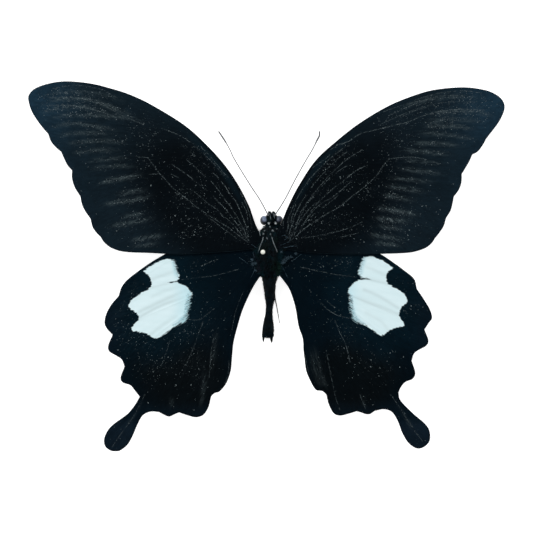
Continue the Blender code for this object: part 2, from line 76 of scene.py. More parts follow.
# Wing sheet
SHEET_THICKNESS = 0.14
EDGE_THICKNESS = 0.05
VEIN_HEIGHT = 0.10
VEIN_WIDTH = 0.17
PLEAT_DEPTH = 0.07
SHEET_STEP = 0.32
SHEET_ROW_SHARE = 0.87
EDGE_STEP = 0.36
EDGE_INSET = 0.12

# Heights of the wings above the surface, and how far they bend
FOREWING_ROOT_HEIGHT = 6.75
FOREWING_TIP_RISE = 1.2
HINDWING_ROOT_HEIGHT = 6.05
HINDWING_DROOP = 0.9
INNER_FOLD_DROP = 1.0
INNER_FOLD_WIDTH = 3.0
BODY_AXIS_X = 0.6
HALF_SPAN = 59.5

# Insect pin
PIN_X = -0.9
PIN_Y = 3.6
PIN_RADIUS = 0.25
PIN_HEAD_RADIUS = 0.58
PIN_HEAD_HEIGHT = 9.55

# Eyes
EYE_SIZE = (1.02, 1.20, 1.22)
EYE_PLACES = {"left": (-0.60, 11.55, 4.35), "right": (3.12, 11.60, 4.35)}
HEAD_MIDDLE = 1.26

# The body as stations along it, each a place, its middle, half width, and lowest and highest points
THORAX = [
    (10.50, 1.12, 0.00, 4.3, 4.3),
    (10.25, 1.12, 1.45, 3.1, 5.6),
    (9.40, 1.05, 2.25, 2.2, 6.7),
    (8.10, 0.90, 2.45, 1.6, 7.6),
    (6.10, 0.70, 2.75, 1.4, 8.1),
    (4.10, 0.55, 2.90, 1.4, 8.3),
    (2.10, 0.50, 2.90, 1.4, 8.0),
    (0.10, 0.55, 2.70, 1.5, 7.4),
    (-1.40, 0.70, 2.30, 1.8, 6.6),
    (-2.00, 0.75, 1.80, 2.3, 5.9),
    (-2.20, 0.80, 0.00, 4.1, 4.1),
]
ABDOMEN = [
    (-2.35, 0.80, 0.00, 4.0, 4.0),
    (-2.60, 0.83, 1.80, 2.1, 5.9),
    (-3.90, 0.75, 1.65, 1.6, 5.7),
    (-5.90, 0.79, 1.42, 1.3, 5.1),
    (-7.90, 0.88, 1.22, 1.05, 4.3),
    (-9.10, 0.82, 0.97, 0.95, 3.8),
    (-10.40, 0.71, 0.84, 0.8, 3.4),
    (-12.10, 0.61, 0.92, 0.45, 3.2),
    (-13.40, 0.50, 1.12, 0.2, 3.15),
    (-15.10, 0.47, 1.40, 0.0, 3.1),
    (-16.60, 0.38, 1.43, 0.1, 2.9),
    (-17.40, 0.35, 1.30, 0.5, 2.6),
    (-17.75, 0.35, 0.00, 1.5, 1.5),
]
HEAD = [
    (13.30, 1.26, 0.00, 4.3, 4.3),
    (13.00, 1.26, 0.95, 3.5, 5.2),
    (12.40, 1.26, 1.30, 3.0, 5.7),
    (11.60, 1.26, 1.45, 2.8, 5.9),
    (10.90, 1.22, 1.30, 2.9, 5.7),
    (10.62, 1.20, 0.00, 4.3, 4.3),
]
# The soft necks that join the three
NECK = [
    (11.10, 1.20, 0.00, 4.3, 4.3),
    (10.90, 1.20, 1.05, 3.2, 5.3),
    (10.30, 1.14, 1.20, 3.0, 5.5),
    (9.90, 1.12, 0.00, 4.3, 4.3),
]
WAIST = [
    (-1.70, 0.76, 0.00, 4.1, 4.1),
    (-2.00, 0.78, 1.70, 2.4, 5.9),
    (-2.70, 0.82, 1.62, 2.3, 5.8),
    (-3.10, 0.82, 0.00, 4.0, 4.0),
]

# The soft skin between the wing roots on each side, as middle and half sizes
ROOT_MEMBRANES = {"left": (-2.75, 4.55, 6.38), "right": (3.95, 4.60, 6.38)}
ROOT_MEMBRANE_SIZE = (1.15, 0.85, 0.26)

# Claspers at the tip of the abdomen, as start, end and the radii there, and how far they arch
CLASPER_ARCH = 0.12
CLASPERS = [
    ((-0.72, -16.6, 1.35), (-0.82, -19.05, 1.25), 0.42, 0.20),
    ((1.15, -16.6, 1.35), (1.32, -19.25, 1.25), 0.58, 0.22),
]

# Wing outlines, as smooth stretches that meet at the notches
FOREWING_LEFT_OUTLINE = [
    [(-1.6, 8.4), (-2.6, 10.4), (-3.5, 12.9), (-4.4, 15.4), (-7.0, 20.4), (-10.4, 25.4),
     (-14.9, 30.4), (-20.5, 35.4), (-28.6, 40.4), (-34.1, 43.0), (-39.1, 44.6), (-44.1, 45.8),
     (-49.9, 46.3), (-54.1, 45.8), (-57.6, 44.6), (-59.2, 43.1), (-59.5, 41.6), (-58.6, 38.6),
     (-56.6, 35.5), (-54.5, 33.0)],
    [(-54.5, 33.0), (-53.9, 31.3), (-52.6, 29.7), (-51.3, 28.6)],
    [(-51.3, 28.6), (-50.6, 27.0), (-49.7, 25.2), (-48.6, 24.0)],
    [(-48.6, 24.0), (-48.6, 21.9), (-47.9, 19.7), (-46.5, 17.4)],
    [(-46.5, 17.4), (-46.1, 15.4), (-45.2, 13.6), (-44.0, 11.9)],
    [(-44.0, 11.9), (-43.5, 9.9), (-42.6, 8.5), (-41.5, 7.4)],
    [(-41.5, 7.4), (-40.5, 5.9), (-38.6, 4.5), (-35.4, 3.6), (-29.1, 3.3), (-21.6, 3.0),
     (-14.1, 3.4), (-7.9, 3.8), (-4.1, 4.3), (-2.1, 4.9)],
    [(-2.1, 4.9), (-0.9, 6.5), (-1.6, 8.4)],
]
FOREWING_RIGHT_OUTLINE = [
    [(2.7, 8.4), (3.4, 10.1), (4.1, 12.0), (5.6, 15.6), (8.1, 20.4), (12.1, 26.4), (17.1, 31.1),
     (23.4, 36.0), (30.9, 40.4), (38.4, 43.3), (43.4, 44.4), (49.6, 44.8), (54.6, 44.1),
     (57.3, 43.0), (58.9, 41.6), (59.5, 39.9), (59.0, 37.9), (57.6, 35.4), (54.9, 31.9)],
    [(54.9, 31.9), (53.9, 30.1), (52.7, 28.6), (51.4, 27.9)],
    [(51.4, 27.9), (50.6, 26.1), (49.6, 24.4), (48.8, 23.1)],
    [(48.8, 23.1), (48.7, 21.0), (48.1, 19.2), (46.8, 17.4)],
    [(46.8, 17.4), (46.5, 15.7), (46.0, 13.9), (44.9, 12.1)],
    [(44.9, 12.1), (44.3, 10.1), (43.3, 8.5), (42.1, 7.0)],
    [(42.1, 7.0), (41.3, 5.8), (39.8, 4.6), (37.3, 3.7), (34.6, 3.3), (28.6, 3.1), (19.6, 3.0),
     (10.9, 3.4), (5.9, 4.1), (3.2, 4.9)],
    [(3.2, 4.9), (2.0, 6.5), (2.7, 8.4)],
]
HINDWING_LEFT_OUTLINE = [
    [(-2.5, 4.1), (-6.6, 5.9), (-12.9, 6.9), (-19.1, 6.1), (-22.9, 4.6), (-25.9, 2.9),
     (-29.1, 1.0), (-34.1, -2.6), (-36.2, -4.9), (-37.1, -7.4)],
    [(-37.1, -7.4), (-38.9, -9.5), (-40.2, -11.9), (-40.6, -14.1), (-40.0, -15.6), (-38.6, -17.1)],
    [(-38.6, -17.1), (-39.7, -19.8), (-39.4, -21.3), (-37.8, -22.3), (-36.3, -23.3), (-35.6, -25.0)],
    [(-35.6, -25.0), (-36.6, -27.8), (-36.0, -29.1), (-34.1, -29.8), (-32.9, -31.2), (-31.8, -32.6)],
    [(-31.8, -32.6), (-33.0, -34.6), (-34.8, -36.8), (-37.9, -39.1), (-39.6, -40.7), (-40.7, -43.0),
     (-40.5, -45.0), (-39.0, -46.2), (-37.0, -46.3), (-34.9, -44.8), (-33.5, -42.5), (-32.2, -39.5),
     (-30.9, -37.3), (-29.0, -36.4), (-26.9, -36.5)],
    [(-26.9, -36.5), (-25.2, -37.4), (-24.2, -37.6), (-22.9, -37.0), (-21.9, -36.6)],
    [(-21.9, -36.6), (-19.5, -37.4), (-17.6, -37.8), (-15.8, -37.2), (-14.5, -35.3), (-13.8, -32.5)],
    [(-13.8, -32.5), (-12.9, -31.7), (-11.7, -31.3), (-10.0, -29.2), (-8.9, -26.1), (-8.6, -23.1),
     (-8.2, -19.1), (-7.3, -15.4), (-6.0, -11.1), (-4.4, -7.4), (-3.0, -4.7), (-1.8, -2.9)],
    [(-1.8, -2.9), (-0.9, -1.6), (-1.2, 0.1), (-1.5, 2.1), (-2.5, 4.1)],
]
HINDWING_RIGHT_OUTLINE = [
    [(3.5, 4.4), (7.6, 6.1), (13.4, 7.1), (19.6, 6.4), (23.9, 5.1), (28.7, 3.1), (34.6, -1.0),
     (37.0, -3.1), (37.7, -5.6)],
    [(37.7, -5.6), (39.4, -8.1), (41.0, -10.8), (41.5, -12.9), (40.7, -14.1), (39.6, -15.8)],
    [(39.6, -15.8), (40.6, -18.5), (40.0, -19.9), (38.4, -20.8), (37.0, -21.8), (36.4, -23.6)],
    [(36.4, -23.6), (37.3, -26.6), (36.6, -28.2), (34.9, -28.9), (33.7, -30.2), (33.1, -31.6)],
    [(33.1, -31.6), (33.6, -33.5), (36.6, -36.6), (39.7, -39.3), (40.9, -41.2), (40.9, -43.7),
     (39.4, -45.3), (37.5, -45.6), (35.4, -44.1), (33.9, -41.6), (32.8, -38.7), (31.4, -36.5),
     (29.4, -35.8), (27.1, -36.2)],
    [(27.1, -36.2), (25.9, -37.0), (24.8, -37.0), (23.7, -36.6), (22.6, -36.3)],
    [(22.6, -36.3), (20.6, -36.9), (18.4, -37.4), (16.8, -36.8), (15.6, -34.7), (14.9, -32.0)],
    [(14.9, -32.0), (13.9, -31.2), (12.3, -30.9), (10.9, -28.6), (9.9, -26.2), (9.5, -23.4),
     (9.2, -20.9), (9.0, -18.0), (8.0, -15.0), (7.3, -10.9), (6.6, -8.2), (5.5, -5.4), (3.3, -2.4)],
    [(3.3, -2.4), (2.2, -1.4), (2.3, 0.1), (2.5, 2.1), (3.5, 4.4)],
]

# Veins on the left
FOREWING_VEINS = [
    [(-3.4, 9.8), (-6.0, 16.0), (-10.4, 23.4), (-15.4, 28.9), (-21.6, 33.1), (-25.4, 34.4),
     (-35.0, 38.6), (-46.0, 42.8), (-56.5, 42.9)],
    [(-25.4, 34.4), (-28.2, 32.4), (-29.3, 29.8), (-29.1, 27.1)],
    [(-27.2, 33.4), (-40.0, 35.9), (-55.3, 35.6)],
    [(-29.3, 29.8), (-41.0, 30.9), (-52.0, 30.6)],
    [(-29.1, 27.1), (-31.6, 27.5), (-40.0, 27.2), (-49.0, 25.9)],
    [(-3.4, 7.3), (-15.4, 14.6), (-19.1, 16.1), (-21.6, 18.4), (-24.1, 20.4), (-26.6, 23.4),
     (-29.1, 27.1)],
    [(-26.6, 23.4), (-29.1, 23.0), (-38.0, 22.2), (-47.4, 21.3)],
    [(-21.6, 18.4), (-33.0, 16.8), (-44.6, 14.8)],
    [(-3.6, 5.9), (-20.0, 7.4), (-38.4, 5.9)],
]
HINDWING_VEINS = [
    [(-4.0, 2.8), (-12.0, 4.2), (-22.0, 2.4), (-29.0, -1.2), (-35.0, -5.6)],
    [(-3.6, 0.9), (-6.6, -1.1), (-11.1, -2.1), (-16.6, -2.9), (-21.1, -3.6), (-26.6, -4.6),
     (-30.5, -6.2), (-39.2, -13.2)],
    [(-21.1, -3.6), (-19.6, -7.9), (-18.6, -13.6)],
    [(-19.6, -7.9), (-31.9, -13.4), (-38.2, -19.4)],
    [(-19.1, -10.8), (-28.6, -18.2), (-35.2, -27.2)],
    [(-18.6, -13.6), (-25.4, -21.4), (-30.2, -32.4), (-33.4, -37.9), (-37.4, -43.6)],
    [(-3.8, -1.2), (-9.0, -6.6), (-12.9, -10.6), (-15.6, -12.5), (-18.6, -13.6)],
    [(-15.6, -12.5), (-17.3, -18.2), (-20.6, -27.0), (-24.2, -36.2)],
    [(-12.9, -10.6), (-13.6, -20.9), (-17.2, -36.2)],
    [(-3.4, -2.4), (-7.9, -10.4), (-10.0, -19.0), (-12.2, -29.8)],
]

# How the veins of each right wing lie against the left ones: mirrored, moved, turned about the root
# and scaled
FOREWING_TO_RIGHT = {"mirror": 0.435, "rise": -0.075, "turn": -0.66, "scale": 0.982, "root": (2.81, 6.55)}
HINDWING_TO_RIGHT = {"mirror": 0.755, "rise": 1.52, "turn": -0.95, "scale": 1.005, "root": (3.13, 1.89)}

# Dusted rays of the forewings, as strength and the places that each runs through
LEFT_RAYS = [
    (0.80, [(50, 88), (62, 85), (78, 85), (94, 87), (112, 91)]),
    (0.45, [(44, 97), (62, 93), (82, 92), (104, 95), (124, 101)]),
    (0.75, [(42, 105), (62, 99), (84, 99), (100, 103), (118, 110), (136, 118)]),
    (0.75, [(42, 113), (60, 108), (80, 107), (98, 110), (112, 114)]),
    (0.60, [(46, 119), (62, 116), (82, 115), (102, 116), (124, 118), (142, 121)]),
    (0.75, [(50, 128), (62, 125), (78, 124), (98, 127), (118, 131)]),
    (0.70, [(57, 136), (72, 134), (92, 133), (112, 135)]),
    (0.65, [(66, 144), (86, 142), (106, 141), (126, 143)]),
    (0.70, [(72, 153), (90, 151), (106, 150), (119, 151)]),
    (0.50, [(85, 163), (98, 160), (114, 159), (130, 158)]),
    (0.45, [(88, 170), (104, 167), (120, 166), (136, 167)]),
    (1.00, [(99, 184), (112, 180), (125, 178), (141, 175)]),
    (0.60, [(117, 195), (131, 192), (146, 190)]),
    (0.80, [(103, 205), (119, 202), (135, 200), (152, 196)]),
    (0.50, [(121, 218), (134, 215), (146, 213)]),
    (0.65, [(109, 227), (124, 224), (140, 221), (154, 218)]),
    (0.65, [(130, 241), (146, 238), (164, 235)]),
    (0.60, [(130, 248), (144, 246), (158, 243)]),
]
RIGHT_RAYS = [
    (0.65, [(410, 102), (430, 96), (450, 92), (476, 91)]),
    (0.50, [(396, 109), (420, 102), (442, 98), (468, 97), (484, 100)]),
    (0.80, [(432, 113), (456, 112), (476, 112), (494, 117)]),
    (0.55, [(424, 122), (444, 120), (462, 120), (486, 123)]),
    (0.80, [(424, 127), (444, 126), (460, 127), (476, 130)]),
    (0.60, [(418, 133), (438, 134), (460, 137), (478, 140)]),
    (0.75, [(412, 143), (438, 144), (463, 146)]),
    (0.70, [(402, 150), (426, 152), (453, 155)]),
    (0.45, [(404, 160), (424, 162), (443, 164)]),
    (0.65, [(400, 169), (420, 171), (444, 174)]),
    (0.50, [(390, 178), (412, 180), (435, 182)]),
    (0.60, [(386, 186), (406, 189), (426, 192)]),
    (0.55, [(382, 195), (400, 198), (414, 201)]),
    (1.00, [(378, 208), (396, 211), (418, 215)]),
    (0.80, [(374, 218), (392, 220), (410, 222)]),
    (0.50, [(378, 226), (392, 228), (404, 230)]),
    (0.60, [(368, 235), (386, 237), (404, 240)]),
    (0.60, [(374, 243), (388, 244), (402, 246)]),
]

# Thin rows of pale scales, as strength and the places that each runs through
LEFT_FOREWING_ROWS = [
    (0.9, [(148, 157.6), (160, 174), (165, 179), (170, 185), (180, 194), (187, 199), (194, 205),
           (198, 208)]),
    (0.6, [(198, 208), (207, 214), (216, 220), (228, 227)]),
    (0.4, [(138, 157), (148, 157.6)]),
    (0.4, [(149, 174.5), (160, 174)]),
    (0.6, [(163.5, 129), (175, 133.5), (182, 136.5), (190, 142)]),
    (0.6, [(201, 147), (208, 154), (215, 162), (223, 172), (228, 177)]),
    (0.4, [(203, 153), (207, 157), (213, 163), (220, 171), (224, 175)]),
    (0.5, [(192, 147.5), (194, 146.8), (197, 147.2), (198, 149.5)]),
    (0.5, [(203, 163), (209, 167.5)]),
    (0.5, [(213, 173), (219, 178)]),
    (1.0, [(221, 181.5), (225, 186), (229, 193), (236, 202), (241, 213), (246, 226), (248, 236.5)]),
    (0.5, [(181, 144.5), (184.5, 147)]),
    (0.5, [(190, 152), (195, 156)]),
    (0.6, [(187, 160), (193, 165.5), (202, 174), (206, 177.5)]),
    (0.8, [(211, 181), (219, 191), (226, 201), (231, 207), (237, 216.5), (240, 223)]),
    (0.6, [(172, 164.5), (186, 174), (193, 179.5), (206, 190)]),
    (0.7, [(213, 196), (219, 202.5), (225, 208.5), (235, 221), (238, 225)]),
    (0.5, [(182, 183), (184, 185.5)]),
    (0.6, [(190, 189), (197, 194), (210, 205), (217, 209), (223, 216.5), (227, 218.5)]),
    (0.6, [(242, 203), (245, 208), (247, 214), (248, 223)]),
    (0.3, [(171, 174), (179, 178)]),
    (0.4, [(185, 207), (187, 208.5), (190, 208), (193, 206)]),
    (0.6, [(240, 223), (245, 232), (249, 241)]),
    (0.5, [(238, 225), (244, 234), (249, 242)]),
    (0.5, [(228, 227), (238, 235), (249, 243)]),
    (0.5, [(227, 218.5), (236, 228), (247, 241)]),
    (0.4, [(205, 214), (220, 226), (236, 238)]),
    (0.4, [(240, 192), (246, 204), (250, 216), (252, 228)]),
    (0.4, [(53, 89), (76, 85.5), (101, 89.5), (117, 98)]),
    (0.4, [(48, 98), (76, 98), (101, 104.5), (123, 116), (142, 124)]),
    (0.3, [(45, 106), (70, 105.5), (98, 111), (114, 117)]),
]
RIGHT_FOREWING_ROWS = [
    (1.0, [(340, 145), (350, 140.5), (360, 134), (371, 131), (392, 126), (408, 122), (423, 116),
           (440, 111.4)]),
    (0.6, [(440, 111.4), (461, 109.4), (483, 110.6)]),
    (0.7, [(288, 229), (291, 212), (299, 195), (309, 180), (320, 168), (333, 156), (345, 147)]),
    (0.6, [(294, 236), (300.5, 213), (312, 196), (326, 179), (337, 168), (348, 158.5), (362, 150)]),
    (0.6, [(298, 235), (312, 210), (328, 193), (342, 182), (356, 171), (367, 165.5)]),
    (0.5, [(300.5, 227), (317, 207), (334, 196), (350.5, 182)]),
    (0.3, [(305, 238), (326, 234), (346, 229), (362, 222)]),
    (0.9, [(303, 230), (310, 224.5), (320, 218), (330, 212), (340, 206.5), (350, 198), (360, 190.5),
           (371, 181)]),
    (0.8, [(371, 181), (377, 175), (383, 166), (389, 159)]),
    (0.6, [(389, 159), (402, 157.5), (415, 157.5), (426, 159.4)]),
    (0.5, [(312, 168), (318, 164), (324, 160), (330, 155)]),
    (0.5, [(330, 150), (336, 146), (342, 143)]),
    (0.8, [(347, 152), (340, 157), (333, 163.5), (327, 169)]),
    (0.8, [(325, 171.5), (319, 178), (314, 184), (311, 188)]),
    (0.9, [(306, 195), (301, 203), (297, 211), (293.5, 219), (293, 223)]),
    (0.7, [(347, 166), (343, 168), (336, 173)]),
    (0.7, [(330, 178), (327, 180.5), (322, 186)]),
    (0.7, [(319, 190.5), (311, 199), (304, 209), (302, 214)]),
    (0.6, [(362, 167), (357, 170), (350, 175), (346, 178)]),
    (0.7, [(318, 202), (310, 208), (302, 218)]),
    (0.6, [(338, 195), (334, 199), (322, 208)]),
    (0.6, [(315, 213), (311, 217)]),
    (0.6, [(296, 204), (292, 217), (290, 230), (289.5, 238)]),
    (0.5, [(290, 213), (288, 220), (288, 227), (286, 234)]),
    (0.4, [(400, 118), (412, 112), (430, 106)]),
    (0.4, [(383, 112), (400, 106), (420, 101)]),
    (0.4, [(340, 237), (350, 235), (358, 233)]),
    (0.7, [(293, 223), (290, 231), (288, 239)]),
    (0.6, [(302, 218), (296, 227), (290, 239)]),
    (0.6, [(303, 230), (296, 236), (289, 242)]),
    (0.5, [(302, 214), (297, 222), (291, 234)]),
    (0.4, [(286, 205), (284, 216), (283, 228)]),
    (0.4, [(414, 100.5), (437, 93.5), (464, 91), (481, 93.5)]),
    (0.4, [(389, 115.5), (414, 104.5), (439, 96.5), (464, 95.5)]),
    (0.3, [(381, 124), (414, 110), (442, 103), (476, 102)]),
]
LEFT_HINDWING_ROWS = [
    (0.40, [(187, 319), (199, 319.6), (214, 309)]),
    (0.40, [(203, 322), (194, 346), (186, 365)]),
    (0.20, [(214, 338), (211.5, 349), (209, 378)]),
    (0.40, [(181, 279.7), (199, 277.4), (215.5, 275.4), (238, 269.4)]),
    (0.75, [(202, 266), (210, 262), (218, 259)]),
    (0.25, [(145, 394), (139, 406), (133.5, 416), (126, 427), (118, 438), (112, 447)]),
    (0.15, [(170, 340), (165, 356), (161, 366)]),
    (0.15, [(244, 290), (236, 310), (232, 330)]),
    (0.20, [(229, 360), (228, 374), (224, 386)]),
]
RIGHT_HINDWING_ROWS = [
    (0.22, [(326, 350), (330, 370), (335, 395), (340, 410)]),
    (0.55, [(320, 302), (327, 309), (337, 315), (348, 318), (356, 320)]),
    (0.35, [(327, 301), (335, 308)]),
    (0.20, [(305, 355), (309, 375)]),
    (0.25, [(390, 394), (400, 408), (412, 427), (423, 442)]),
    (0.25, [(360, 395), (366, 410)]),
    (0.50, [(335, 320), (340, 333), (346, 345), (350, 362)]),
    (0.40, [(300, 267), (318, 271), (336, 274.5), (356, 277)]),
]

# Streaks of painted bluish sheen on the hindwings' inner lobes, as strength and the places that each runs
# through
LEFT_HIND_PAINTED_SHEEN = [
    (0.30, [(205, 368), (204, 388), (200, 410)]),
    (0.25, [(217, 328), (214, 350), (211, 372)]),
    (0.20, [(171, 396), (172, 408)]),
    (0.25, [(143, 398), (136, 411), (126, 428)]),
]
RIGHT_HIND_PAINTED_SHEEN = [
    (0.35, [(309, 348), (315, 370), (321, 392), (329, 409)]),
    (0.30, [(314, 346), (321, 372), (328, 396), (336, 411)]),
    (0.30, [(308, 362), (312, 378), (318, 390)]),
    (0.20, [(362, 394), (365, 408)]),
    (0.25, [(396, 400), (405, 416), (414, 432)]),
]

# Loose clouds of pale scales, as strength, middle and the two half widths
LEFT_FOREWING_CLOUDS = [
    (0.50, (148, 132), (16, 16)),
    (0.35, (120, 137), (8, 8)),
    (0.45, (184, 196), (10, 8)),
    (0.30, (205, 165), (30, 22)),
    (0.25, (190, 220), (30, 24)),
    (0.25, (145, 170), (16, 26)),
    (0.20, (135, 225), (24, 24)),
    (0.45, (243, 232), (12, 14)),
    (0.30, (205, 142), (24, 12)),
    (0.45, (80, 100), (44, 18)),
    (0.15, (222, 205), (16, 30)),
    (0.15, (215, 232), (26, 12)),
]
RIGHT_FOREWING_CLOUDS = [
    (0.45, (398, 138), (18, 22)),
    (0.45, (366, 190), (10, 8)),
    (0.35, (338, 168), (30, 24)),
    (0.25, (340, 222), (34, 20)),
    (0.25, (392, 178), (16, 26)),
    (0.20, (400, 222), (26, 24)),
    (0.45, (290, 234), (12, 14)),
    (0.30, (375, 116), (26, 12)),
    (0.45, (455, 106), (44, 18)),
    (0.15, (312, 205), (16, 30)),
    (0.15, (322, 232), (26, 12)),
]
LEFT_HINDWING_CLOUDS = [
    (0.65, (182, 328), (16, 10)),
    (0.65, (136, 338), (18, 11)),
    (0.65, (150, 364), (18, 14)),
    (0.45, (186, 366), (20, 20)),
    (0.35, (128, 316), (10, 16)),
    (0.65, (130, 288), (14, 14)),
    (0.50, (116, 312), (12, 14)),
    (0.45, (197, 264), (12, 10)),
    (0.25, (210, 310), (24, 30)),
    (0.35, (252, 262), (8, 8)),
    (0.20, (200, 350), (26, 30)),
    (0.30, (206, 330), (10, 12)),
]
RIGHT_HINDWING_CLOUDS = [
    (0.80, (355, 326), (10, 9)),
    (0.55, (408, 309), (14, 8)),
    (0.30, (372, 362), (24, 16)),
    (0.35, (345, 345), (12, 14)),
    (0.55, (345, 264), (12, 14)),
    (0.40, (320, 262), (24, 12)),
    (0.30, (398, 280), (12, 10)),
    (0.25, (330, 310), (22, 30)),
    (0.35, (288, 262), (8, 8)),
    (0.12, (376, 372), (26, 30)),
]

# Single bright scales
LEFT_SPECKS = [
    (149.7, 141), (143, 125), (151, 185.5), (196, 185.5), (131, 153.5), (138, 161), (118, 141),
    (123, 141), (124, 224), (117, 231), (186, 216), (201, 228), (195, 232), (153, 372), (168, 357),
    (199, 369), (176, 385), (202, 389), (118, 350), (187, 276.5), (201, 312), (213, 330), (139, 357),
    (118, 323), (207, 302), (191, 385), (148, 403), (194, 410), (136, 342), (185, 331),
    (248.5, 236.5), (172.5, 177.5), (194, 234.8), (175, 215.5), (208, 212), (177.5, 194.5), (183, 243),
    (168.5, 243.5), (204.5, 193.8), (233.5, 224.3), (231.5, 208), (224.8, 208.3), (248, 227),
    (182.5, 198.5), (182.5, 232.5), (188.5, 226.5),
]
RIGHT_SPECKS = [
    (344, 348), (371, 360), (380, 368), (355, 365), (371, 367), (390, 353), (404, 357), (400, 367),
    (379, 376), (373, 405), (411, 306), (411, 309), (423, 307), (425, 160), (440, 163.5), (403, 169),
    (453, 184), (439, 200), (426, 206), (422, 206), (440, 210), (409, 230), (408, 235), (309, 220),
    (340, 177), (296.7, 239), (364, 242), (402, 141), (350, 313), (374, 212), (337, 145.2), (326, 162),
    (312, 187.3), (307.5, 202.5), (308.5, 220.5), (350.5, 236), (354, 239), (343.5, 205),
]

# Pale hindwing patches, as the places that the edge runs through between its corners
LEFT_PATCH = [
    [(143.5, 271.5), (147, 268.5), (152, 265.5), (159, 261.3), (165, 259.2), (170, 259.3), (174, 260.5)],
    [(174, 260.5), (174.6, 265), (175.8, 269), (176.4, 273), (178.4, 275), (178.2, 279), (177, 280)],
    [(177, 280), (173.5, 281.2), (170, 282.1), (167, 283), (170, 282.9), (175, 281.9)],
    [(175, 281.9), (180, 283.6), (185, 286), (188.4, 289), (190.6, 292), (191.5, 294), (187.6, 297.5)],
    [(187.6, 297.5), (187.2, 305), (186, 312), (184.6, 318), (183, 321)],
    [(183, 321), (176, 325.5), (169, 330.5), (163, 335), (157, 338.4), (153, 338.4)],
    [(153, 338.4), (149, 335.6), (144, 333), (137, 332), (132.5, 331), (131.2, 328.5)],
    [(131.2, 328.5), (132.5, 326), (135.5, 322.6), (138.6, 320)],
    [(138.6, 320), (138.2, 316.5), (136.4, 313.5), (133, 311), (129.3, 308.3), (128.3, 305.6)],
    [(128.3, 305.6), (130.5, 301.5), (135, 297), (141, 293), (147, 290), (150.6, 287)],
    [(150.6, 287), (151.6, 284), (151, 280), (149.6, 276.5), (148, 274.4), (143.5, 271.5)],
]
RIGHT_PATCH = [
    [(364, 258), (367.5, 256.4), (372, 256), (380, 259.4), (388, 263.6), (393.6, 267.8)],
    [(393.6, 267.8), (389.5, 270.8), (387.2, 274), (386.2, 278), (387, 282), (389.6, 284.8)],
    [(389.6, 284.8), (396, 288.3), (402, 292), (406, 296), (408, 300.4)],
    [(408, 300.4), (406.4, 303.4), (403, 306), (400.6, 309)],
    [(400.6, 309), (399.4, 313), (399.3, 316.5)],
    [(399.3, 316.5), (401.6, 319.6), (403.6, 322), (405.2, 324.8)],
    [(405.2, 324.8), (403.6, 326.2), (400, 327), (393, 329), (389.5, 330.4)],
    [(389.5, 330.4), (386.4, 333), (382.6, 335.8), (377, 333), (370.5, 328.6), (364, 324), (357, 320),
     (354.6, 317)],
    [(354.6, 317), (353.4, 312), (352.6, 305), (352, 299), (350.8, 296)],
    [(350.8, 296), (348.3, 292.4), (349.6, 287.6), (353, 283.4), (358.5, 280.4), (362, 279.2)],
    [(362, 279.2), (367, 279), (371.5, 280), (366.5, 278.3), (361.6, 277.3), (360.2, 275)],
    [(360.2, 275), (358.4, 272.6), (361.2, 268), (362.4, 262), (364, 258)],
]
# Where the inner edge of each patch breaks into long loose scales
LEFT_BRUSH = [(190.5, 294), (189.8, 300), (189, 307), (188, 313), (186.5, 317.5), (182, 321.5),
              (176, 325.6)]
RIGHT_BRUSH = [(349, 295), (349, 301), (350, 307), (351.4, 312), (353, 317), (356, 320.5), (362, 324)]
LEFT_RAGGED = [(173.6, 259.6), (175.5, 267), (176.6, 273), (178.4, 277)]
RIGHT_RAGGED = [(364, 257), (362, 264), (360.5, 270), (359.6, 276)]
# Folds in the patches, as strength and the places that each runs through; each is a shallow groove with
# painted grey shade along it
LEFT_FOLDS = [
    (0.8, [(139, 312), (158, 303), (176, 295), (190, 290.5)]),
    (0.9, [(139, 318), (156, 308), (172, 301.5), (187, 298)]),
    (0.5, [(150, 335), (162, 326), (176, 317)]),
    (0.5, [(150, 287.6), (160, 285), (168, 282.6)]),
    (0.6, [(152, 279.6), (160, 276.4), (172, 272.5)]),
    (0.4, [(152, 297), (164, 291), (180, 287)]),
]
RIGHT_FOLDS = [
    (0.7, [(364, 290), (378, 296), (398, 308)]),
    (0.8, [(354, 297), (374, 304.5), (390, 311), (399, 315)]),
    (0.4, [(366, 313), (382, 322), (388, 330)]),
    (0.7, [(366, 278.6), (376, 281), (388, 283.6)]),
    (0.5, [(366, 267), (374, 270), (386, 276)]),
]

# Where the rays of each forewing would meet, and the roots of the wings
FAN_CENTRES = {"left": (262, 150), "right": (271, 150)}
ROOTS = {"left": (256, 240), "right": (280, 240)}
HIND_ROOTS = {"left": (256, 268), "right": (281, 268)}

# Antennae and mouthparts
ANTENNA_RADIUS = 0.13
ANTENNA_CLUB_RADIUS = 0.23
ANTENNA_CLUB_START = 0.84
ANTENNA_RING = 0.42
ANTENNAE = {
    "left": [(0.50, 12.7, 5.42), (-1.6, 16.6, 6.2), (-4.1, 20.4, 6.9), (-7.9, 26.6, 7.4),
             (-9.1, 29.1, 7.5), (-10.4, 31.4, 7.5), (-12.0, 33.8, 7.4)],
    "right": [(2.02, 12.7, 5.42), (4.6, 16.8, 6.2), (7.1, 21.6, 6.9), (9.6, 26.1, 7.3),
              (11.4, 29.1, 7.4), (12.6, 31.5, 7.4), (13.2, 32.7, 7.3), (13.2, 33.9, 7.2)],
}
PALP_RADIUS = 0.36
PALPS = {
    "left": [(0.62, 11.7, 2.15), (0.66, 12.6, 2.35), (0.72, 13.4, 3.1), (0.74, 13.6, 3.6)],
    "right": [(1.90, 11.7, 2.15), (1.86, 12.6, 2.35), (1.80, 13.4, 3.1), (1.78, 13.6, 3.6)],
}
PROBOSCIS_RADIUS = 0.10
PROBOSCIS_CENTRE = (1.26, 11.9, 1.95)
PROBOSCIS_COIL = (0.22, 0.66)
PROBOSCIS_TURNS = 1.75

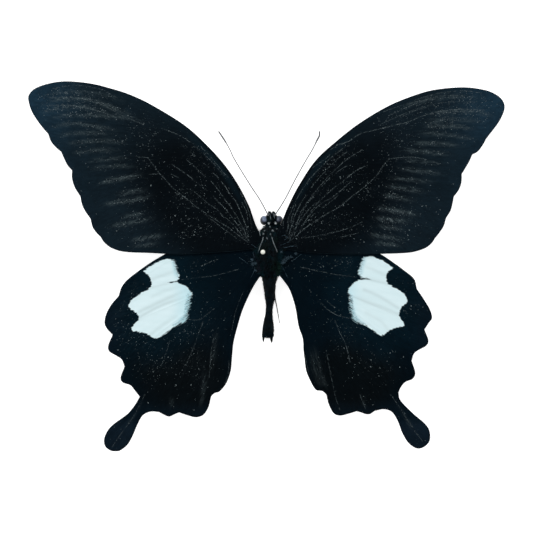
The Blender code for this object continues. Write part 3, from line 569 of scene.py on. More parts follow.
# Legs, from hip to claw, with the radius at each point
LEGS = {
    "leg_front_left": [(0.2, 6.6, 0.98, 0.30), (-2.9, 7.3, 1.00, 0.26), (-4.4, 10.2, 0.42, 0.19),
                       (-4.9, 11.6, 0.22, 0.14), (-5.2, 13.2, 0.12, 0.12)],
    "leg_front_right": [(1.3, 6.6, 0.98, 0.30), (4.5, 7.3, 1.00, 0.26), (6.1, 10.2, 0.42, 0.19),
                        (6.6, 11.6, 0.22, 0.14), (7.0, 13.2, 0.12, 0.12)],
    "leg_middle_left": [(0.0, 2.5, 0.98, 0.30), (-3.9, 1.7, 1.15, 0.27), (-5.6, -0.6, 0.42, 0.20),
                        (-6.1, -1.7, 0.22, 0.14), (-6.6, -3.0, 0.12, 0.12)],
    "leg_middle_right": [(1.1, 2.5, 0.98, 0.30), (5.0, 1.7, 1.15, 0.27), (6.6, -0.6, 0.42, 0.20),
                         (7.1, -1.7, 0.22, 0.14), (7.5, -3.0, 0.12, 0.12)],
    "leg_hind_left": [(0.1, 0.5, 0.98, 0.30), (-1.9, -1.3, 1.05, 0.27), (-4.5, -4.4, 0.42, 0.20),
                      (-5.3, -5.6, 0.22, 0.14), (-6.2, -7.0, 0.12, 0.12)],
    "leg_hind_right": [(1.1, 0.5, 0.98, 0.30), (1.8, -3.4, 0.80, 0.25), (2.15, -8.0, 0.42, 0.18),
                       (2.6, -10.2, 0.22, 0.14), (2.95, -12.2, 0.16, 0.11), (3.28, -14.1, 0.12, 0.07)],
}

# Pale dots on the head and neck, as place, half width and strength
BODY_DOTS = [
    ((268.8, 223.0), 1.0, 0.9), ((275.4, 222.7), 1.1, 1.0), ((263.5, 226.5), 1.1, 0.55),
    ((270.0, 226.3), 0.8, 0.3), ((276.8, 228.5), 0.7, 0.25), ((264.5, 230.3), 0.8, 0.4),
    ((272.6, 230.3), 0.9, 0.5), ((263.5, 233.5), 0.8, 0.45), ((270.5, 234.0), 0.8, 0.35),
    ((267.0, 238.0), 0.7, 0.25),
]
# Pale lines of hair on the head, thorax and wing roots, as strength and places
BODY_LINES = [
    (0.6, [(259.3, 231), (260.3, 235)]),
    (0.9, [(263.3, 237), (262.5, 240), (261, 244)]),
    (0.7, [(261, 244), (259, 249.5), (258, 252)]),
    (0.9, [(271.8, 237), (273, 241), (274.5, 245)]),
    (0.7, [(274.5, 245), (276.8, 250.5)]),
    (0.35, [(269.5, 213), (270.5, 218)]),
    (0.35, [(273, 213), (274.5, 217)]),
]
WING_ROOT_LINES = [
    (0.7, [(291, 262), (300, 255)]),
    (0.5, [(284.5, 247.7), (290, 246.5), (296, 246)]),
    (0.6, [(280.5, 245.3), (285, 243.5), (288.5, 242), (290, 240)]),
    (0.5, [(281, 236), (284, 235.5), (287, 237), (285, 239.5)]),
    (0.4, [(283, 248), (288, 247), (292, 246)]),
    (0.3, [(281, 266), (284, 270), (287, 276)]),
    (0.6, [(251, 244), (257, 248)]),
    (0.5, [(253, 252), (254.5, 258)]),
    (0.3, [(255, 266), (254, 271), (251, 277)]),
    (0.5, [(239, 257), (247, 263)]),
]
# Pale tufts at the wing roots, as place, half width and strength
WING_ROOT_TUFTS = [
    ((284, 261), 1.7, 1.0), ((286.5, 258.5), 1.6, 1.0), ((282.3, 263), 1.2, 0.8),
    ((290.2, 257.5), 0.8, 0.6), ((295, 253.7), 0.7, 0.5), ((280.5, 252), 0.8, 0.4),
    ((253, 260), 1.2, 0.8), ((253.5, 264.5), 1.5, 0.9), ((256, 263.5), 1.0, 0.7),
    ((256.5, 271), 0.7, 0.4),
]
# Dark tufts at the front of the head and on the right shoulder, as place, half width, way and length
DARK_TUFTS = [
    ((271.8, 216.5), 3.2, (0.0, 1.0, 0.1), 0.8), ((276.5, 226.0), 2.2, (1.0, 0.1, 0.0), 1.3),
    ((278.0, 229.0), 2.4, (1.0, 0.35, 0.0), 1.3),
]

# Fur on the body, as number of hairs, shortest, longest, width and how far back they lie
THORAX_FUR = (5200, 0.5, 1.15, 0.075, 0.62)
WAIST_FUR = (500, 0.4, 0.9, 0.07, 0.6)
HEAD_FUR = (1500, 0.3, 0.7, 0.065, 0.35)
NECK_FUR = (600, 0.4, 0.8, 0.07, 0.5)
ABDOMEN_FUR = (3800, 0.3, 0.62, 0.065, 0.8)
# Hairs in a full dot, a full pale tuft, a dark tuft, on each palp and along each side of the thorax
DOT_HAIRS = 90
PALE_TUFT_HAIRS = 80
DARK_TUFT_HAIRS = 260
PALP_HAIRS = 420
WING_ROOT_HAIRS = 700
# How each hair's tone rises over its points, from root to tip
STRAND_FADE = (0.7, 0.7, 0.7, 0.9, 0.9, 0.9, 1.0)
LEG_SPINES = 46

# The abdomen's rings, as where they start, how far apart they are and how high each rises
ABDOMEN_RING_START = -2.6
ABDOMEN_RING = 1.75
ABDOMEN_RING_RISE = 0.07

# Pale scales: spots tried on each wing, and the step, length and width of the scales
SCALE_TRIES = 110000
SCALE_ROW_STEP = 0.09
SCALE_LENGTH = 0.24
SCALE_WIDTH = 0.13
FRINGE_STEP = 0.085
FRINGE_ROOT = 0.10

# The photograph's row between the forewings' marks and the hindwings', and its column of the body
MARKS_DIVIDE = 250
BODY_COLUMN = 270

# Stage, with light sizes and places in metres
FLOOR_HALF = 3.0
FLOOR_GLOW = 0.85
SKY_STRENGTH = 0.55
KEY_LIGHT = ((-0.55, 0.55, 0.85), 0.6, 9.0)
FILL_LIGHT = ((0.8, 0.1, 0.7), 0.8, 3.0)

rng = np.random.default_rng(SEED)


def linear(red, green, blue):
    """A colour given as 0 to 255 screen values, as Blender's linear light."""
    shares = np.array([red, green, blue]) / 255
    return tuple(np.where(shares <= 0.04045, shares / 12.92, ((shares + 0.055) / 1.055) ** 2.4))


# Colours, as screen values
OUTER = linear(13, 24, 31)
APEX = linear(21, 40, 53)
BASAL = linear(4, 8, 12)
# Bluish band behind the forewings' front edge: partly the scales' own tint, partly painted sheen
COSTAL_TINT_AND_SHEEN = linear(12, 28, 36)
HIND_TEAL = linear(2, 11, 18)
HIND_BRIGHT = linear(3, 17, 25)
HIND_BLACK = linear(4, 8, 11)
TAIL = linear(10, 21, 30)
PATCH = linear(203, 222, 226)
PATCH_DEEP = linear(196, 217, 221)
PATCH_RIM = linear(182, 212, 219)
# Painted grey shade along the folds in the pale patches
PATCH_FOLD_SHADE = linear(183, 201, 204)
# Pale dust of the rays, and on the hindwings the painted bluish sheen
RAY_DUST_AND_SHEEN = linear(60, 71, 74)
DUST = linear(44, 55, 60)
SPECK = linear(156, 170, 173)
FEATHER = linear(82, 130, 144)
FRAYED = linear(118, 174, 186)
UNDERSIDE = linear(38, 36, 34)


def from_photo(places):
    """Places in the photograph as millimetres on the specimen."""
    places = np.asarray(places, float)
    return np.stack([places[:, 0] - PHOTO_MIDDLE, PHOTO_MIDDLE - places[:, 1]], axis=1) * PIXEL


def curve(points, step):
    """Points about a step apart on a smooth curve through the given ones."""
    points = np.asarray(points, float)
    ends = np.vstack([2 * points[0] - points[1], points, 2 * points[-1] - points[-2]])
    line = []
    for before, start, end, after in zip(ends, ends[1:], ends[2:], ends[3:]):
        pieces = max(1, ceil(np.linalg.norm(end - start) / step - 0.35))
        for k in range(pieces):
            t = k / pieces
            bend = (2 * before - 5 * start + 4 * end - after) * t * t
            twist = (3 * start - before - 3 * end + after) * t ** 3
            line.append(0.5 * (2 * start + (end - before) * t + bend + twist))
    line.append(points[-1])
    return np.array(line)


def closed_outline(stretches, step):
    return np.vstack([curve(stretch, step)[:-1] for stretch in stretches])


def to_right(points, fit):
    """Where points of a left wing fall on the right one."""
    points = np.asarray(points, float)
    root = np.array(fit["root"])
    mirrored = np.stack([fit["mirror"] - points[:, 0], points[:, 1] + fit["rise"]], axis=1) - root
    turn = radians(fit["turn"])
    turned = mirrored @ np.array([[cos(turn), sin(turn)], [-sin(turn), cos(turn)]])
    return root + turned * fit["scale"]


def line_distance(spots, line):
    """How far each spot is from a line of points, and its nearest place as a share of the line."""
    nearest = np.full(len(spots), 1e9)
    along = np.zeros(len(spots))
    travelled = 0.0
    for start, end in zip(line, line[1:]):
        step = end - start
        length = max(1e-9, hypot(*step))
        t = np.clip((spots - start) @ step / length ** 2, 0, 1)
        gap = np.hypot(spots[:, 0] - start[0] - t * step[0], spots[:, 1] - start[1] - t * step[1])
        closer = gap < nearest
        nearest[closer] = gap[closer]
        along[closer] = (travelled + t * length)[closer]
        travelled += length
    return nearest, along / travelled


def inside(spots, outline):
    """Which spots lie inside a closed outline."""
    within = np.zeros(len(spots), bool)
    for (x1, y1), (x2, y2) in zip(outline, np.roll(outline, -1, axis=0)):
        if y1 != y2:
            between = (y1 > spots[:, 1]) != (y2 > spots[:, 1])
            within ^= between & (spots[:, 0] < x1 + (spots[:, 1] - y1) * (x2 - x1) / (y2 - y1))
    return within


def smooth_step(value, low, high):
    share = np.clip((value - low) / (high - low), 0, 1)
    return share * share * (3 - 2 * share)


def forewing_height(x, y):
    span = (x - BODY_AXIS_X) / HALF_SPAN
    wave = 0.16 * np.sin(0.19 * np.abs(x) + 0.6) * np.cos(0.15 * y)
    return FOREWING_ROOT_HEIGHT + FOREWING_TIP_RISE * span * span + wave * np.minimum(1, np.abs(span) * 5)


def hindwing_height(x, y):
    across = np.abs(x - BODY_AXIS_X)
    reach = np.hypot(across, y) / HALF_SPAN
    height = HINDWING_ROOT_HEIGHT - HINDWING_DROOP * reach * reach
    inner_edge = 2.4 + 6.2 * (1 - np.exp(np.minimum(0, y + 2.4) / 7))
    fold = np.clip(1 - (across - inner_edge) / INNER_FOLD_WIDTH, 0, 1)
    return height - INNER_FOLD_DROP * fold * fold * np.clip((-2.4 - y) / 4, 0, 1)


# Materials

def new_material(name, roughness, specular):
    material = bpy.data.materials.new(name)
    material.use_nodes = True
    shader = material.node_tree.nodes["Principled BSDF"]
    shader.inputs["Roughness"].default_value = roughness
    shader.inputs["Specular IOR Level"].default_value = specular
    return material, material.node_tree, shader


def feed(tree, socket, value):
    """Sets a socket to a number or colour, or links it to another node's output."""
    if isinstance(value, bpy.types.NodeSocket):
        tree.links.new(value, socket)
    elif isinstance(value, tuple):
        socket.default_value = (*value, 1.0) if len(value) == 3 and socket.type == "RGBA" else value
    else:
        socket.default_value = value


def maths(tree, operation, first, second=0.0):
    step = tree.nodes.new("ShaderNodeMath")
    step.operation = operation
    feed(tree, step.inputs[0], first)
    feed(tree, step.inputs[1], second)
    return step.outputs[0]


def ramp(tree, value, low, high, start=0.0, end=1.0):
    """A smooth step from start to end as the value goes from low to high."""
    step = tree.nodes.new("ShaderNodeMapRange")
    step.interpolation_type = "SMOOTHSTEP"
    for socket, number in zip(step.inputs, (value, low, high, start, end)):
        feed(tree, socket, number)
    return step.outputs[0]


def blend(tree, share, first, second, kind="MIX"):
    mix = tree.nodes.new("ShaderNodeMix")
    mix.data_type = "RGBA"
    mix.blend_type = kind
    feed(tree, mix.inputs[0], share)
    feed(tree, mix.inputs[6], first)
    feed(tree, mix.inputs[7], second)
    return mix.outputs[2]


def noise(tree, vector, scale, detail=2.0, roughness=0.5):
    texture = tree.nodes.new("ShaderNodeTexNoise")
    feed(tree, texture.inputs["Scale"], scale)
    feed(tree, texture.inputs["Detail"], detail)
    feed(tree, texture.inputs["Roughness"], roughness)
    tree.links.new(vector, texture.inputs["Vector"])
    return texture.outputs["Fac"]


def place(tree):
    return tree.nodes.new("ShaderNodeTexCoord").outputs["Object"]


def attribute(tree, name, output="Fac"):
    reader = tree.nodes.new("ShaderNodeAttribute")
    reader.attribute_name = name
    return reader.outputs[output]


def bump(tree, shader, height, distance, strength):
    lift = tree.nodes.new("ShaderNodeBump")
    lift.inputs["Strength"].default_value = strength
    lift.inputs["Distance"].default_value = distance * MM
    tree.links.new(height, lift.inputs["Height"])
    tree.links.new(lift.outputs["Normal"], shader.inputs["Normal"])


def fan_place(tree, centre, stretch):
    """A place as distance from a centre, drawn out by a factor, and distance round it."""
    x, y = from_photo([centre])[0] * MM
    split = tree.nodes.new("ShaderNodeSeparateXYZ")
    tree.links.new(place(tree), split.inputs[0])
    across = maths(tree, "SUBTRACT", split.outputs[0], float(x))
    up = maths(tree, "SUBTRACT", split.outputs[1], float(y))
    far = maths(tree, "SQRT", maths(tree, "ADD", maths(tree, "MULTIPLY", across, across),
                                    maths(tree, "MULTIPLY", up, up)))
    angle = maths(tree, "ARCTAN2", up, across)
    join = tree.nodes.new("ShaderNodeCombineXYZ")
    feed(tree, join.inputs[0], maths(tree, "MULTIPLY", far, 1 / stretch))
    feed(tree, join.inputs[1], maths(tree, "MULTIPLY", angle, 0.035))
    feed(tree, join.inputs[2], split.outputs[2])
    return join.outputs[0]


def wing_material(name, centre, has_patch):
    """Dark scales with pale dust along the rays, and the pale patch of a hindwing."""
    material, tree, shader = new_material(name, 0.62, 0.012)
    fan = fan_place(tree, centre, 4.5)
    fine = place(tree)
    shade = attribute(tree, "shade", "Color")
    streak = noise(tree, fan, 2500, 3.0, 0.65)
    cloudy = noise(tree, fine, 240, 3.0, 0.55)
    grain = noise(tree, fine, 3400, 2.0, 0.6)
    mixed = maths(tree, "ADD", maths(tree, "MULTIPLY", streak, 0.4), maths(tree, "MULTIPLY", grain, 0.3))
    mixed = maths(tree, "ADD", mixed, maths(tree, "MULTIPLY", cloudy, 0.3))
    base = blend(tree, 1.0, shade, ramp(tree, mixed, 0.38, 0.64, 0.78, 1.24), "MULTIPLY")
    # Pale dust along the rays, and on the hindwings painted bluish sheen along its streaks
    dust = attribute(tree, "dust")
    share = maths(tree, "MULTIPLY", dust, ramp(tree, streak, 0.38, 0.62, 0.10, 0.95))
    dusted = blend(tree, maths(tree, "MULTIPLY", share, ramp(tree, grain, 0.35, 0.65, 0.5, 1.0)), base, RAY_DUST_AND_SHEEN)
    colour = blend(tree, maths(tree, "MULTIPLY", attribute(tree, "line"), 0.08), dusted, RAY_DUST_AND_SHEEN)
    if has_patch:
        fray = attribute(tree, "fray")
        jag = maths(tree, "SUBTRACT", noise(tree, fan, 2600, 2.0, 0.6), 0.5)
        jag = maths(tree, "MULTIPLY", jag, maths(tree, "ADD", maths(tree, "MULTIPLY", fray, 3.0), 0.9))
        soft = maths(tree, "MULTIPLY", maths(tree, "SUBTRACT", noise(tree, fine, 700, 2.0), 0.5), 0.5)
        edge = maths(tree, "ADD", attribute(tree, "patch"), maths(tree, "ADD", jag, soft))
        pale = blend(tree, ramp(tree, noise(tree, fan, 420, 4.0, 0.6), 0.3, 0.75), PATCH_DEEP, PATCH)
        # Painted shade along the patch's folds
        pale = blend(tree, attribute(tree, "fold"), pale, PATCH_FOLD_SHADE)
        pale = blend(tree, attribute(tree, "rim"), pale, PATCH_RIM)
        pale = blend(tree, maths(tree, "MULTIPLY", fray, 0.6), pale, FRAYED)
        start = maths(tree, "SUBTRACT", -0.10, maths(tree, "MULTIPLY", fray, 0.9))
        stop = maths(tree, "ADD", 0.14, maths(tree, "MULTIPLY", fray, 0.15))
        colour = blend(tree, ramp(tree, edge, start, stop), colour, pale)
    under = maths(tree, "MULTIPLY", attribute(tree, "under"), 0.25)
    colour = blend(tree, under, colour, UNDERSIDE)
    tree.links.new(colour, shader.inputs["Base Color"])
    feed(tree, shader.inputs["Roughness"], ramp(tree, grain, 0.3, 0.7, 0.5, 0.78))
    bump(tree, shader, maths(tree, "ADD", streak, grain), 0.03, 0.5)
    return material


def hair_material(name, dark, pale, roughness, specular, tints=()):
    """Strands or loose scales, each with its own tone, paler towards the tip, in patches of each tint."""
    material, tree, shader = new_material(name, roughness, specular)
    mottle = ramp(tree, noise(tree, place(tree), 900, 2.0), 0.35, 0.65, 0.0, 0.3)
    for k, tint in enumerate(tints):
        pale = blend(tree, ramp(tree, noise(tree, place(tree), 350 + 130 * k, 1.0), 0.5, 0.6), pale, tint)
    share = maths(tree, "ADD", maths(tree, "MULTIPLY", attribute(tree, "tone"), 0.85),
                  maths(tree, "MULTIPLY", mottle, 0.5))
    tree.links.new(blend(tree, share, dark, pale), shader.inputs["Base Color"])
    feed(tree, shader.inputs["Roughness"], ramp(tree, mottle, 0.0, 0.3, roughness - 0.08, roughness + 0.08))
    return material


def shell_material(name, dark, pale, roughness, specular, scale, depth):
    """Dry insect shell, mottled and finely pitted."""
    material, tree, shader = new_material(name, roughness, specular)
    mottle = noise(tree, place(tree), scale, 3.0, 0.6)
    tree.links.new(blend(tree, ramp(tree, mottle, 0.35, 0.7), dark, pale), shader.inputs["Base Color"])
    feed(tree, shader.inputs["Roughness"], ramp(tree, mottle, 0.3, 0.7, roughness + 0.1, roughness - 0.1))
    bump(tree, shader, noise(tree, place(tree), scale * 3, 3.0), depth, 0.6)
    return material


def eye_material_painted_reflection():
    """A glossy compound eye, nearly black behind, with a painted lavender reflection in front."""
    material, tree, shader = new_material("eye_gloss", 0.28, 0.5)
    split = tree.nodes.new("ShaderNodeSeparateXYZ")
    tree.links.new(place(tree), split.inputs[0])
    level = EYE_PLACES["left"][1]
    # Painted reflection: the lavender lies over the front of each eye
    front = ramp(tree, split.outputs[1], (level - 0.5) * MM, level * MM)
    out = maths(tree, "ABSOLUTE", maths(tree, "SUBTRACT", split.outputs[0], HEAD_MIDDLE * MM))
    # The painted reflection fades to the dark base towards each eye's outer rim
    front = maths(tree, "MULTIPLY", front, ramp(tree, out, 2.1 * MM, 2.6 * MM, 1.0, 0.12))
    # The painted reflection is fainter on the right eye
    right = ramp(tree, split.outputs[0], (HEAD_MIDDLE + 0.6) * MM, (HEAD_MIDDLE + 1.1) * MM, 1.0, 0.3)
    front = maths(tree, "MULTIPLY", front, right)
    mottle = ramp(tree, noise(tree, place(tree), 600, 3.0), 0.3, 0.7)
    # Lavender of the painted reflection, mottled
    pale = blend(tree, mottle, linear(79, 91, 112), linear(100, 113, 137))
    tree.links.new(blend(tree, front, linear(8, 12, 22), pale), shader.inputs["Base Color"])
    feed(tree, shader.inputs["Roughness"], ramp(tree, mottle, 0.0, 1.0, 0.24, 0.34))
    bump(tree, shader, noise(tree, place(tree), 9000, 1.0), 0.004, 0.4)
    return material


def floor_material():
    """Plain white, lit from within enough that shadows on it stay faint."""
    material, tree, shader = new_material("floor_white", 0.9, 0.1)
    tone = ramp(tree, noise(tree, place(tree), 3.0), 0.3, 0.7, 0.0, 1.0)
    tree.links.new(blend(tree, tone, (0.60, 0.60, 0.60), (0.62, 0.62, 0.62)), shader.inputs["Base Color"])
    shader.inputs["Emission Color"].default_value = (1.0, 1.0, 1.0, 1.0)
    shader.inputs["Emission Strength"].default_value = FLOOR_GLOW
    return material


# Meshes

def add_piece(name, verts, faces, material, smooth=True):
    """A piece from points in millimetres, kept within the box of the solids."""
    verts = np.clip(verts, BOX_LOW, BOX_HIGH)
    mesh = bpy.data.meshes.new(name)
    mesh.from_pydata((np.asarray(verts) * MM).tolist(), [], faces)
    mesh.materials.append(material)
    if smooth:
        mesh.shade_smooth()
    item = bpy.data.objects.new(name, mesh)
    bpy.context.scene.collection.objects.link(item)
    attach(item, "root")
    return item


def give(item, name, values):
    """Stores a number for each point of a piece, for its material to read."""
    store = item.data.attributes.new(name, "FLOAT", "POINT")
    store.data.foreach_set("value", np.ascontiguousarray(values, dtype=np.float32))


def give_colour(item, name, colours):
    store = item.data.attributes.new(name, "FLOAT_COLOR", "POINT")
    full = np.hstack([colours, np.ones((len(colours), 1))])
    store.data.foreach_set("color", np.ascontiguousarray(full, dtype=np.float32).ravel())


def unit(vectors):
    return vectors / np.maximum(np.linalg.norm(vectors, axis=-1, keepdims=True), 1e-9)


def rings_mesh(rings):
    """Points and faces of a closed skin over rings of points, with a point at each end."""
    count, around = rings.shape[:2]
    verts = rings.reshape(-1, 3)
    faces = []
    for k in range(count - 1):
        for j in range(around):
            a, b = k * around + j, k * around + (j + 1) % around
            faces.append((a, a + around, b + around, b))
    first, last = len(verts), len(verts) + 1
    verts = np.vstack([verts, rings[0].mean(axis=0), rings[-1].mean(axis=0)])
    base = (count - 1) * around
    for j in range(around):
        faces.append((j, (j + 1) % around, first))
        faces.append((base + (j + 1) % around, base + j, last))
    return verts, faces


def tube_mesh(line, radii, around):
    """A round tube along a line of points, with a radius at each one."""
    line = np.asarray(line, float)
    ahead = unit(np.gradient(line, axis=0))
    side = unit(np.cross(ahead[0], (0.0, 0.3, 1.0)))
    rings = []
    for spot, way, radius in zip(line, ahead, radii):
        side = unit(side - way * (side @ way))
        other = np.cross(way, side)
        turn = np.arange(around) * 2 * pi / around
        rings.append(spot + radius * (np.cos(turn)[:, None] * side + np.sin(turn)[:, None] * other))
    return rings_mesh(np.array(rings))


def join_meshes(parts):
    """Several sets of points and faces as one."""
    verts = []
    faces = []
    start = 0
    for points, polygons in parts:
        verts.append(points)
        faces += [tuple(int(k) + start for k in polygon) for polygon in polygons]
        start += len(points)
    return np.vstack(verts), faces


def strands(roots, ways, lengths, widths, droop):
    """Tapered three-sided hairs that start along ways and droop by a vector over their length."""
    count = len(roots)
    lengths = np.asarray(lengths)[:, None]
    widths = np.asarray(widths)[:, None]
    side = unit(np.cross(ways, (0.13, 0.21, 1.0)))
    other = np.cross(ways, side)
    middle = roots + ways * lengths * 0.5 + droop * lengths * 0.2
    tip = roots + ways * lengths + droop * lengths
    points = np.zeros((count, 7, 3))
    for k in range(3):
        turn = 2 * pi * k / 3
        out = cos(turn) * side + sin(turn) * other
        points[:, k] = roots + out * widths * 0.5
        points[:, 3 + k] = middle + out * widths * 0.36
    points[:, 6] = tip
    pattern = [(0, 1, 4), (0, 4, 3), (1, 2, 5), (1, 5, 4), (2, 0, 3), (2, 3, 5), (3, 4, 6), (4, 5, 6),
               (5, 3, 6), (2, 1, 0)]
    faces = (np.array(pattern)[None] + 7 * np.arange(count)[:, None, None]).reshape(-1, 3)
    return points.reshape(-1, 3), faces.tolist()


def flakes(roots, ways, lengths, widths, lifts):
    """Flat pointed scales, each a thin closed kite whose tip is lifted a little."""
    count = len(roots)
    lengths = np.asarray(lengths)[:, None]
    widths = np.asarray(widths)[:, None]
    up = np.array([0.0, 0.0, 1.0])
    side = unit(np.cross(ways, up))
    lifts = np.asarray(lifts)[:, None] * up
    points = np.zeros((count, 4, 3))
    points[:, 0] = roots
    points[:, 1] = roots + ways * lengths * 0.55 + side * widths * 0.5 + lifts * 0.75
    points[:, 2] = roots + ways * lengths * 0.55 - side * widths * 0.5 + lifts * 0.75
    points[:, 3] = roots + ways * lengths + lifts * 0.6
    pattern = [(0, 1, 2), (1, 3, 2), (0, 3, 1), (0, 2, 3)]
    faces = (np.array(pattern)[None] + 4 * np.arange(count)[:, None, None]).reshape(-1, 3)
    return points.reshape(-1, 3), faces.tolist()


# Wings

def forewing_specks(specks):
    return [speck for speck in specks if speck[1] < MARKS_DIVIDE]


def hindwing_specks(specks):
    return [speck for speck in specks if speck[1] > MARKS_DIVIDE]


def make_wing(name, side, kind, stretches, veins, rays, rows, clouds, specks,
              patch=None, folds=(), frays=()):
    """What is known about one wing, in millimetres."""
    fore = kind == "fore"
    return {
        "name": name, "side": side, "fore": fore,
        "outline": closed_outline(stretches, EDGE_STEP),
        "front": curve(stretches[0][:13] if fore else stretches[0], 2.0),
        "height": forewing_height if fore else hindwing_height,
        "veins": [curve(vein, 1.0) for vein in veins],
        "rays": [(strength, curve(from_photo(ray), 2.5)) for strength, ray in rays],
        "rows": [(strength, curve(from_photo(row), 1.5)) for strength, row in rows],
        "clouds": [(strength, from_photo([middle])[0], np.array(half) * PIXEL)
                   for strength, middle, half in clouds],
        "specks": from_photo(specks),
        "patch": closed_outline([from_photo(part) for part in patch], 0.4) if patch else None,
        "folds": [(strength, curve(from_photo(fold), 2.5)) for strength, fold in folds],
        "frays": [(strength, curve(from_photo(fray), 1.0)) for strength, fray in frays],
        "root": from_photo([(ROOTS if fore else HIND_ROOTS)[side]])[0],
        "fan": from_photo([FAN_CENTRES[side] if fore else HIND_ROOTS[side]])[0],
    }


def vein_share(wing, spots):
    """How high the veins stand at each spot, from 0 to 1."""
    ridge = np.zeros(len(spots))
    for vein in wing["veins"]:
        gap, along = line_distance(spots, vein)
        ridge = np.maximum(ridge, np.exp(-(gap / VEIN_WIDTH) ** 2) * (1 - 0.55 * along))
    return ridge


def dust_share(wing, spots, loose):
    """How thickly pale scales lie at each spot, from 0 to 1, with the loose clouds at a given weight."""
    dust = np.zeros(len(spots))
    # On the hindwings the rays are the streaks of painted bluish sheen
    for strength, ray in wing["rays"]:
        gap, along = line_distance(spots, ray)
        ends = smooth_step(along, 0.0, 0.2) * smooth_step(1 - along, 0.0, 0.3)
        tip = smooth_step(np.abs(spots[:, 0]), 34, 46)
        dust += strength * (1 - 0.25 * tip) * np.exp(-(gap / 0.54) ** 2) * (0.15 + 0.85 * ends)
    for strength, middle, half in wing["clouds"]:
        far = np.hypot((spots[:, 0] - middle[0]) / half[0], (spots[:, 1] - middle[1]) / half[1])
        dust += loose * strength * np.exp(-far * far)
    return np.minimum(dust, 1.2)


def wing_surface(wing, spots):
    """The height of the wing's upper face, with its veins and shallow pleats."""
    ripple = np.zeros(len(spots))
    for strength, ray in wing["rays"] + wing["folds"]:
        gap = line_distance(spots, ray)[0]
        ripple -= PLEAT_DEPTH * strength * np.exp(-(gap / 0.5) ** 2)
    x, y = spots.T
    wrinkle = 0.02 * np.sin(1.3 * x + 2.1 * y) * np.sin(0.9 * x - 1.7 * y + 1.0)
    return wing["height"](x, y) + VEIN_HEIGHT * vein_share(wing, spots) + ripple + wrinkle


def inset(outline, distance):
    """A closed outline moved inwards."""
    ahead = unit(np.roll(outline, -1, axis=0) - np.roll(outline, 1, axis=0))
    inward = np.stack([-ahead[:, 1], ahead[:, 0]], axis=1)
    area = np.sum(outline[:, 0] * np.roll(outline[:, 1], -1) - np.roll(outline[:, 0], -1) * outline[:, 1])
    return outline + inward * distance * np.sign(area), -inward * np.sign(area)


def sheet_points(wing, edge):
    """Points for a fine sheet: its edge, rows along the veins and an even filling."""
    rows = []
    for vein in wing["veins"]:
        line = curve(vein[::2] if len(vein) > 4 else vein, SHEET_STEP)
        ahead = unit(np.gradient(line, axis=0))
        out = np.stack([-ahead[:, 1], ahead[:, 0]], axis=1)
        for offset in (0.0, -0.17, 0.17):
            rows.append(line + out * offset)
    rows = np.vstack(rows)
    low, high = edge.min(axis=0), edge.max(axis=0)
    columns = np.arange(low[0], high[0], SHEET_STEP)
    x, y = np.meshgrid(columns, np.arange(low[1], high[1], SHEET_STEP * SHEET_ROW_SHARE))
    x = x + SHEET_STEP * 0.5 * (np.arange(len(x)) % 2)[:, None]
    fill = np.stack([x.ravel(), y.ravel()], axis=1)
    fill = fill[inside(fill, edge)]
    rows = rows[inside(rows, edge)]
    closed = np.vstack([edge, edge[:1]])
    fill = fill[line_distance(fill, closed)[0] > 0.18]
    rows = rows[line_distance(rows, closed)[0] > 0.18]
    clear = np.full(len(fill), 1e9)
    for vein in wing["veins"]:
        clear = np.minimum(clear, line_distance(fill, vein)[0])
    fill = fill[clear > 0.33]
    cells = np.unique(np.round(rows / 0.12).astype(int), axis=0, return_index=True)[1]
    return np.vstack([edge, rows[np.sort(cells)], fill])


def sheet_mesh(wing, edge):
    """A thin closed sheet over the points, with fine edges: its flat spots, points, faces and side."""
    spots = sheet_points(wing, edge)
    made = delaunay_2d_cdt([Vector(p) for p in spots], [], [list(range(len(edge)))], 1, 1e-5)
    spots = np.array([(p.x, p.y) for p in made[0]])
    triangles = np.array(made[2])
    a, b, c = (spots[triangles[:, k]] for k in range(3))
    turned = (b[:, 0] - a[:, 0]) * (c[:, 1] - a[:, 1]) - (b[:, 1] - a[:, 1]) * (c[:, 0] - a[:, 0]) < 0
    triangles[turned] = triangles[turned][:, ::-1]
    count = len(spots)
    sides = np.vstack([triangles[:, [0, 1]], triangles[:, [1, 2]], triangles[:, [2, 0]]])
    ahead = sides[:, 0] * count + sides[:, 1]
    back = sides[:, 1] * count + sides[:, 0]
    border = sides[~np.isin(ahead, back)]
    rim = line_distance(spots, np.vstack([edge, edge[:1]]))[0]
    half = 0.5 * (EDGE_THICKNESS + (SHEET_THICKNESS - EDGE_THICKNESS) * smooth_step(rim, 0, 0.5))
    top = wing_surface(wing, spots)
    verts = np.vstack([np.column_stack([spots, top + half]), np.column_stack([spots, top - half])])
    faces = triangles.tolist() + (triangles[:, ::-1] + count).tolist()
    faces += [(b, a, a + count, b + count) for a, b in border.tolist()]
    return spots, verts, faces, rim


def forewing_shade(wing, spots):
    """Slate towards the tip and nearly black at the root and in the long cell, with a bluish band behind
    the front edge that is partly the scales' tint and partly painted sheen.
    """
    root = wing["root"]
    way = unit(np.array([-107.0 if wing["side"] == "left" else 107.0, 90.0]))
    out = spots - root
    along = out @ way
    across = out[:, 0] * way[1] - out[:, 1] * way[0]
    if wing["side"] == "right":
        across = -across
    far = np.hypot((along - 15) / 24, across / np.where(across > 0, 12, 15))
    dark = 1 - smooth_step(far, 0.6, 1.4)
    tip = smooth_step(np.abs(spots[:, 0]), 40, 58) * (0.3 + 0.7 * smooth_step(spots[:, 1], 26, 40))
    # The bluish band behind the front edge, partly painted sheen
    behind = line_distance(spots, wing["front"])[0]
    front = smooth_step(behind, 0.3, 1.2) * (1 - smooth_step(behind, 1.4, 2.8))
    shade = np.array(OUTER)[None] * (1 - tip[:, None]) + np.array(APEX)[None] * tip[:, None]
    shade = shade * (1 - dark[:, None]) + np.array(BASAL)[None] * dark[:, None]
    reach = np.hypot(*out.T)
    front = (front * smooth_step(reach, 6, 16) * (1 - smooth_step(reach, 26, 36)))[:, None] * 0.5
    return shade * (1 - front) + np.array(COSTAL_TINT_AND_SHEEN)[None] * front


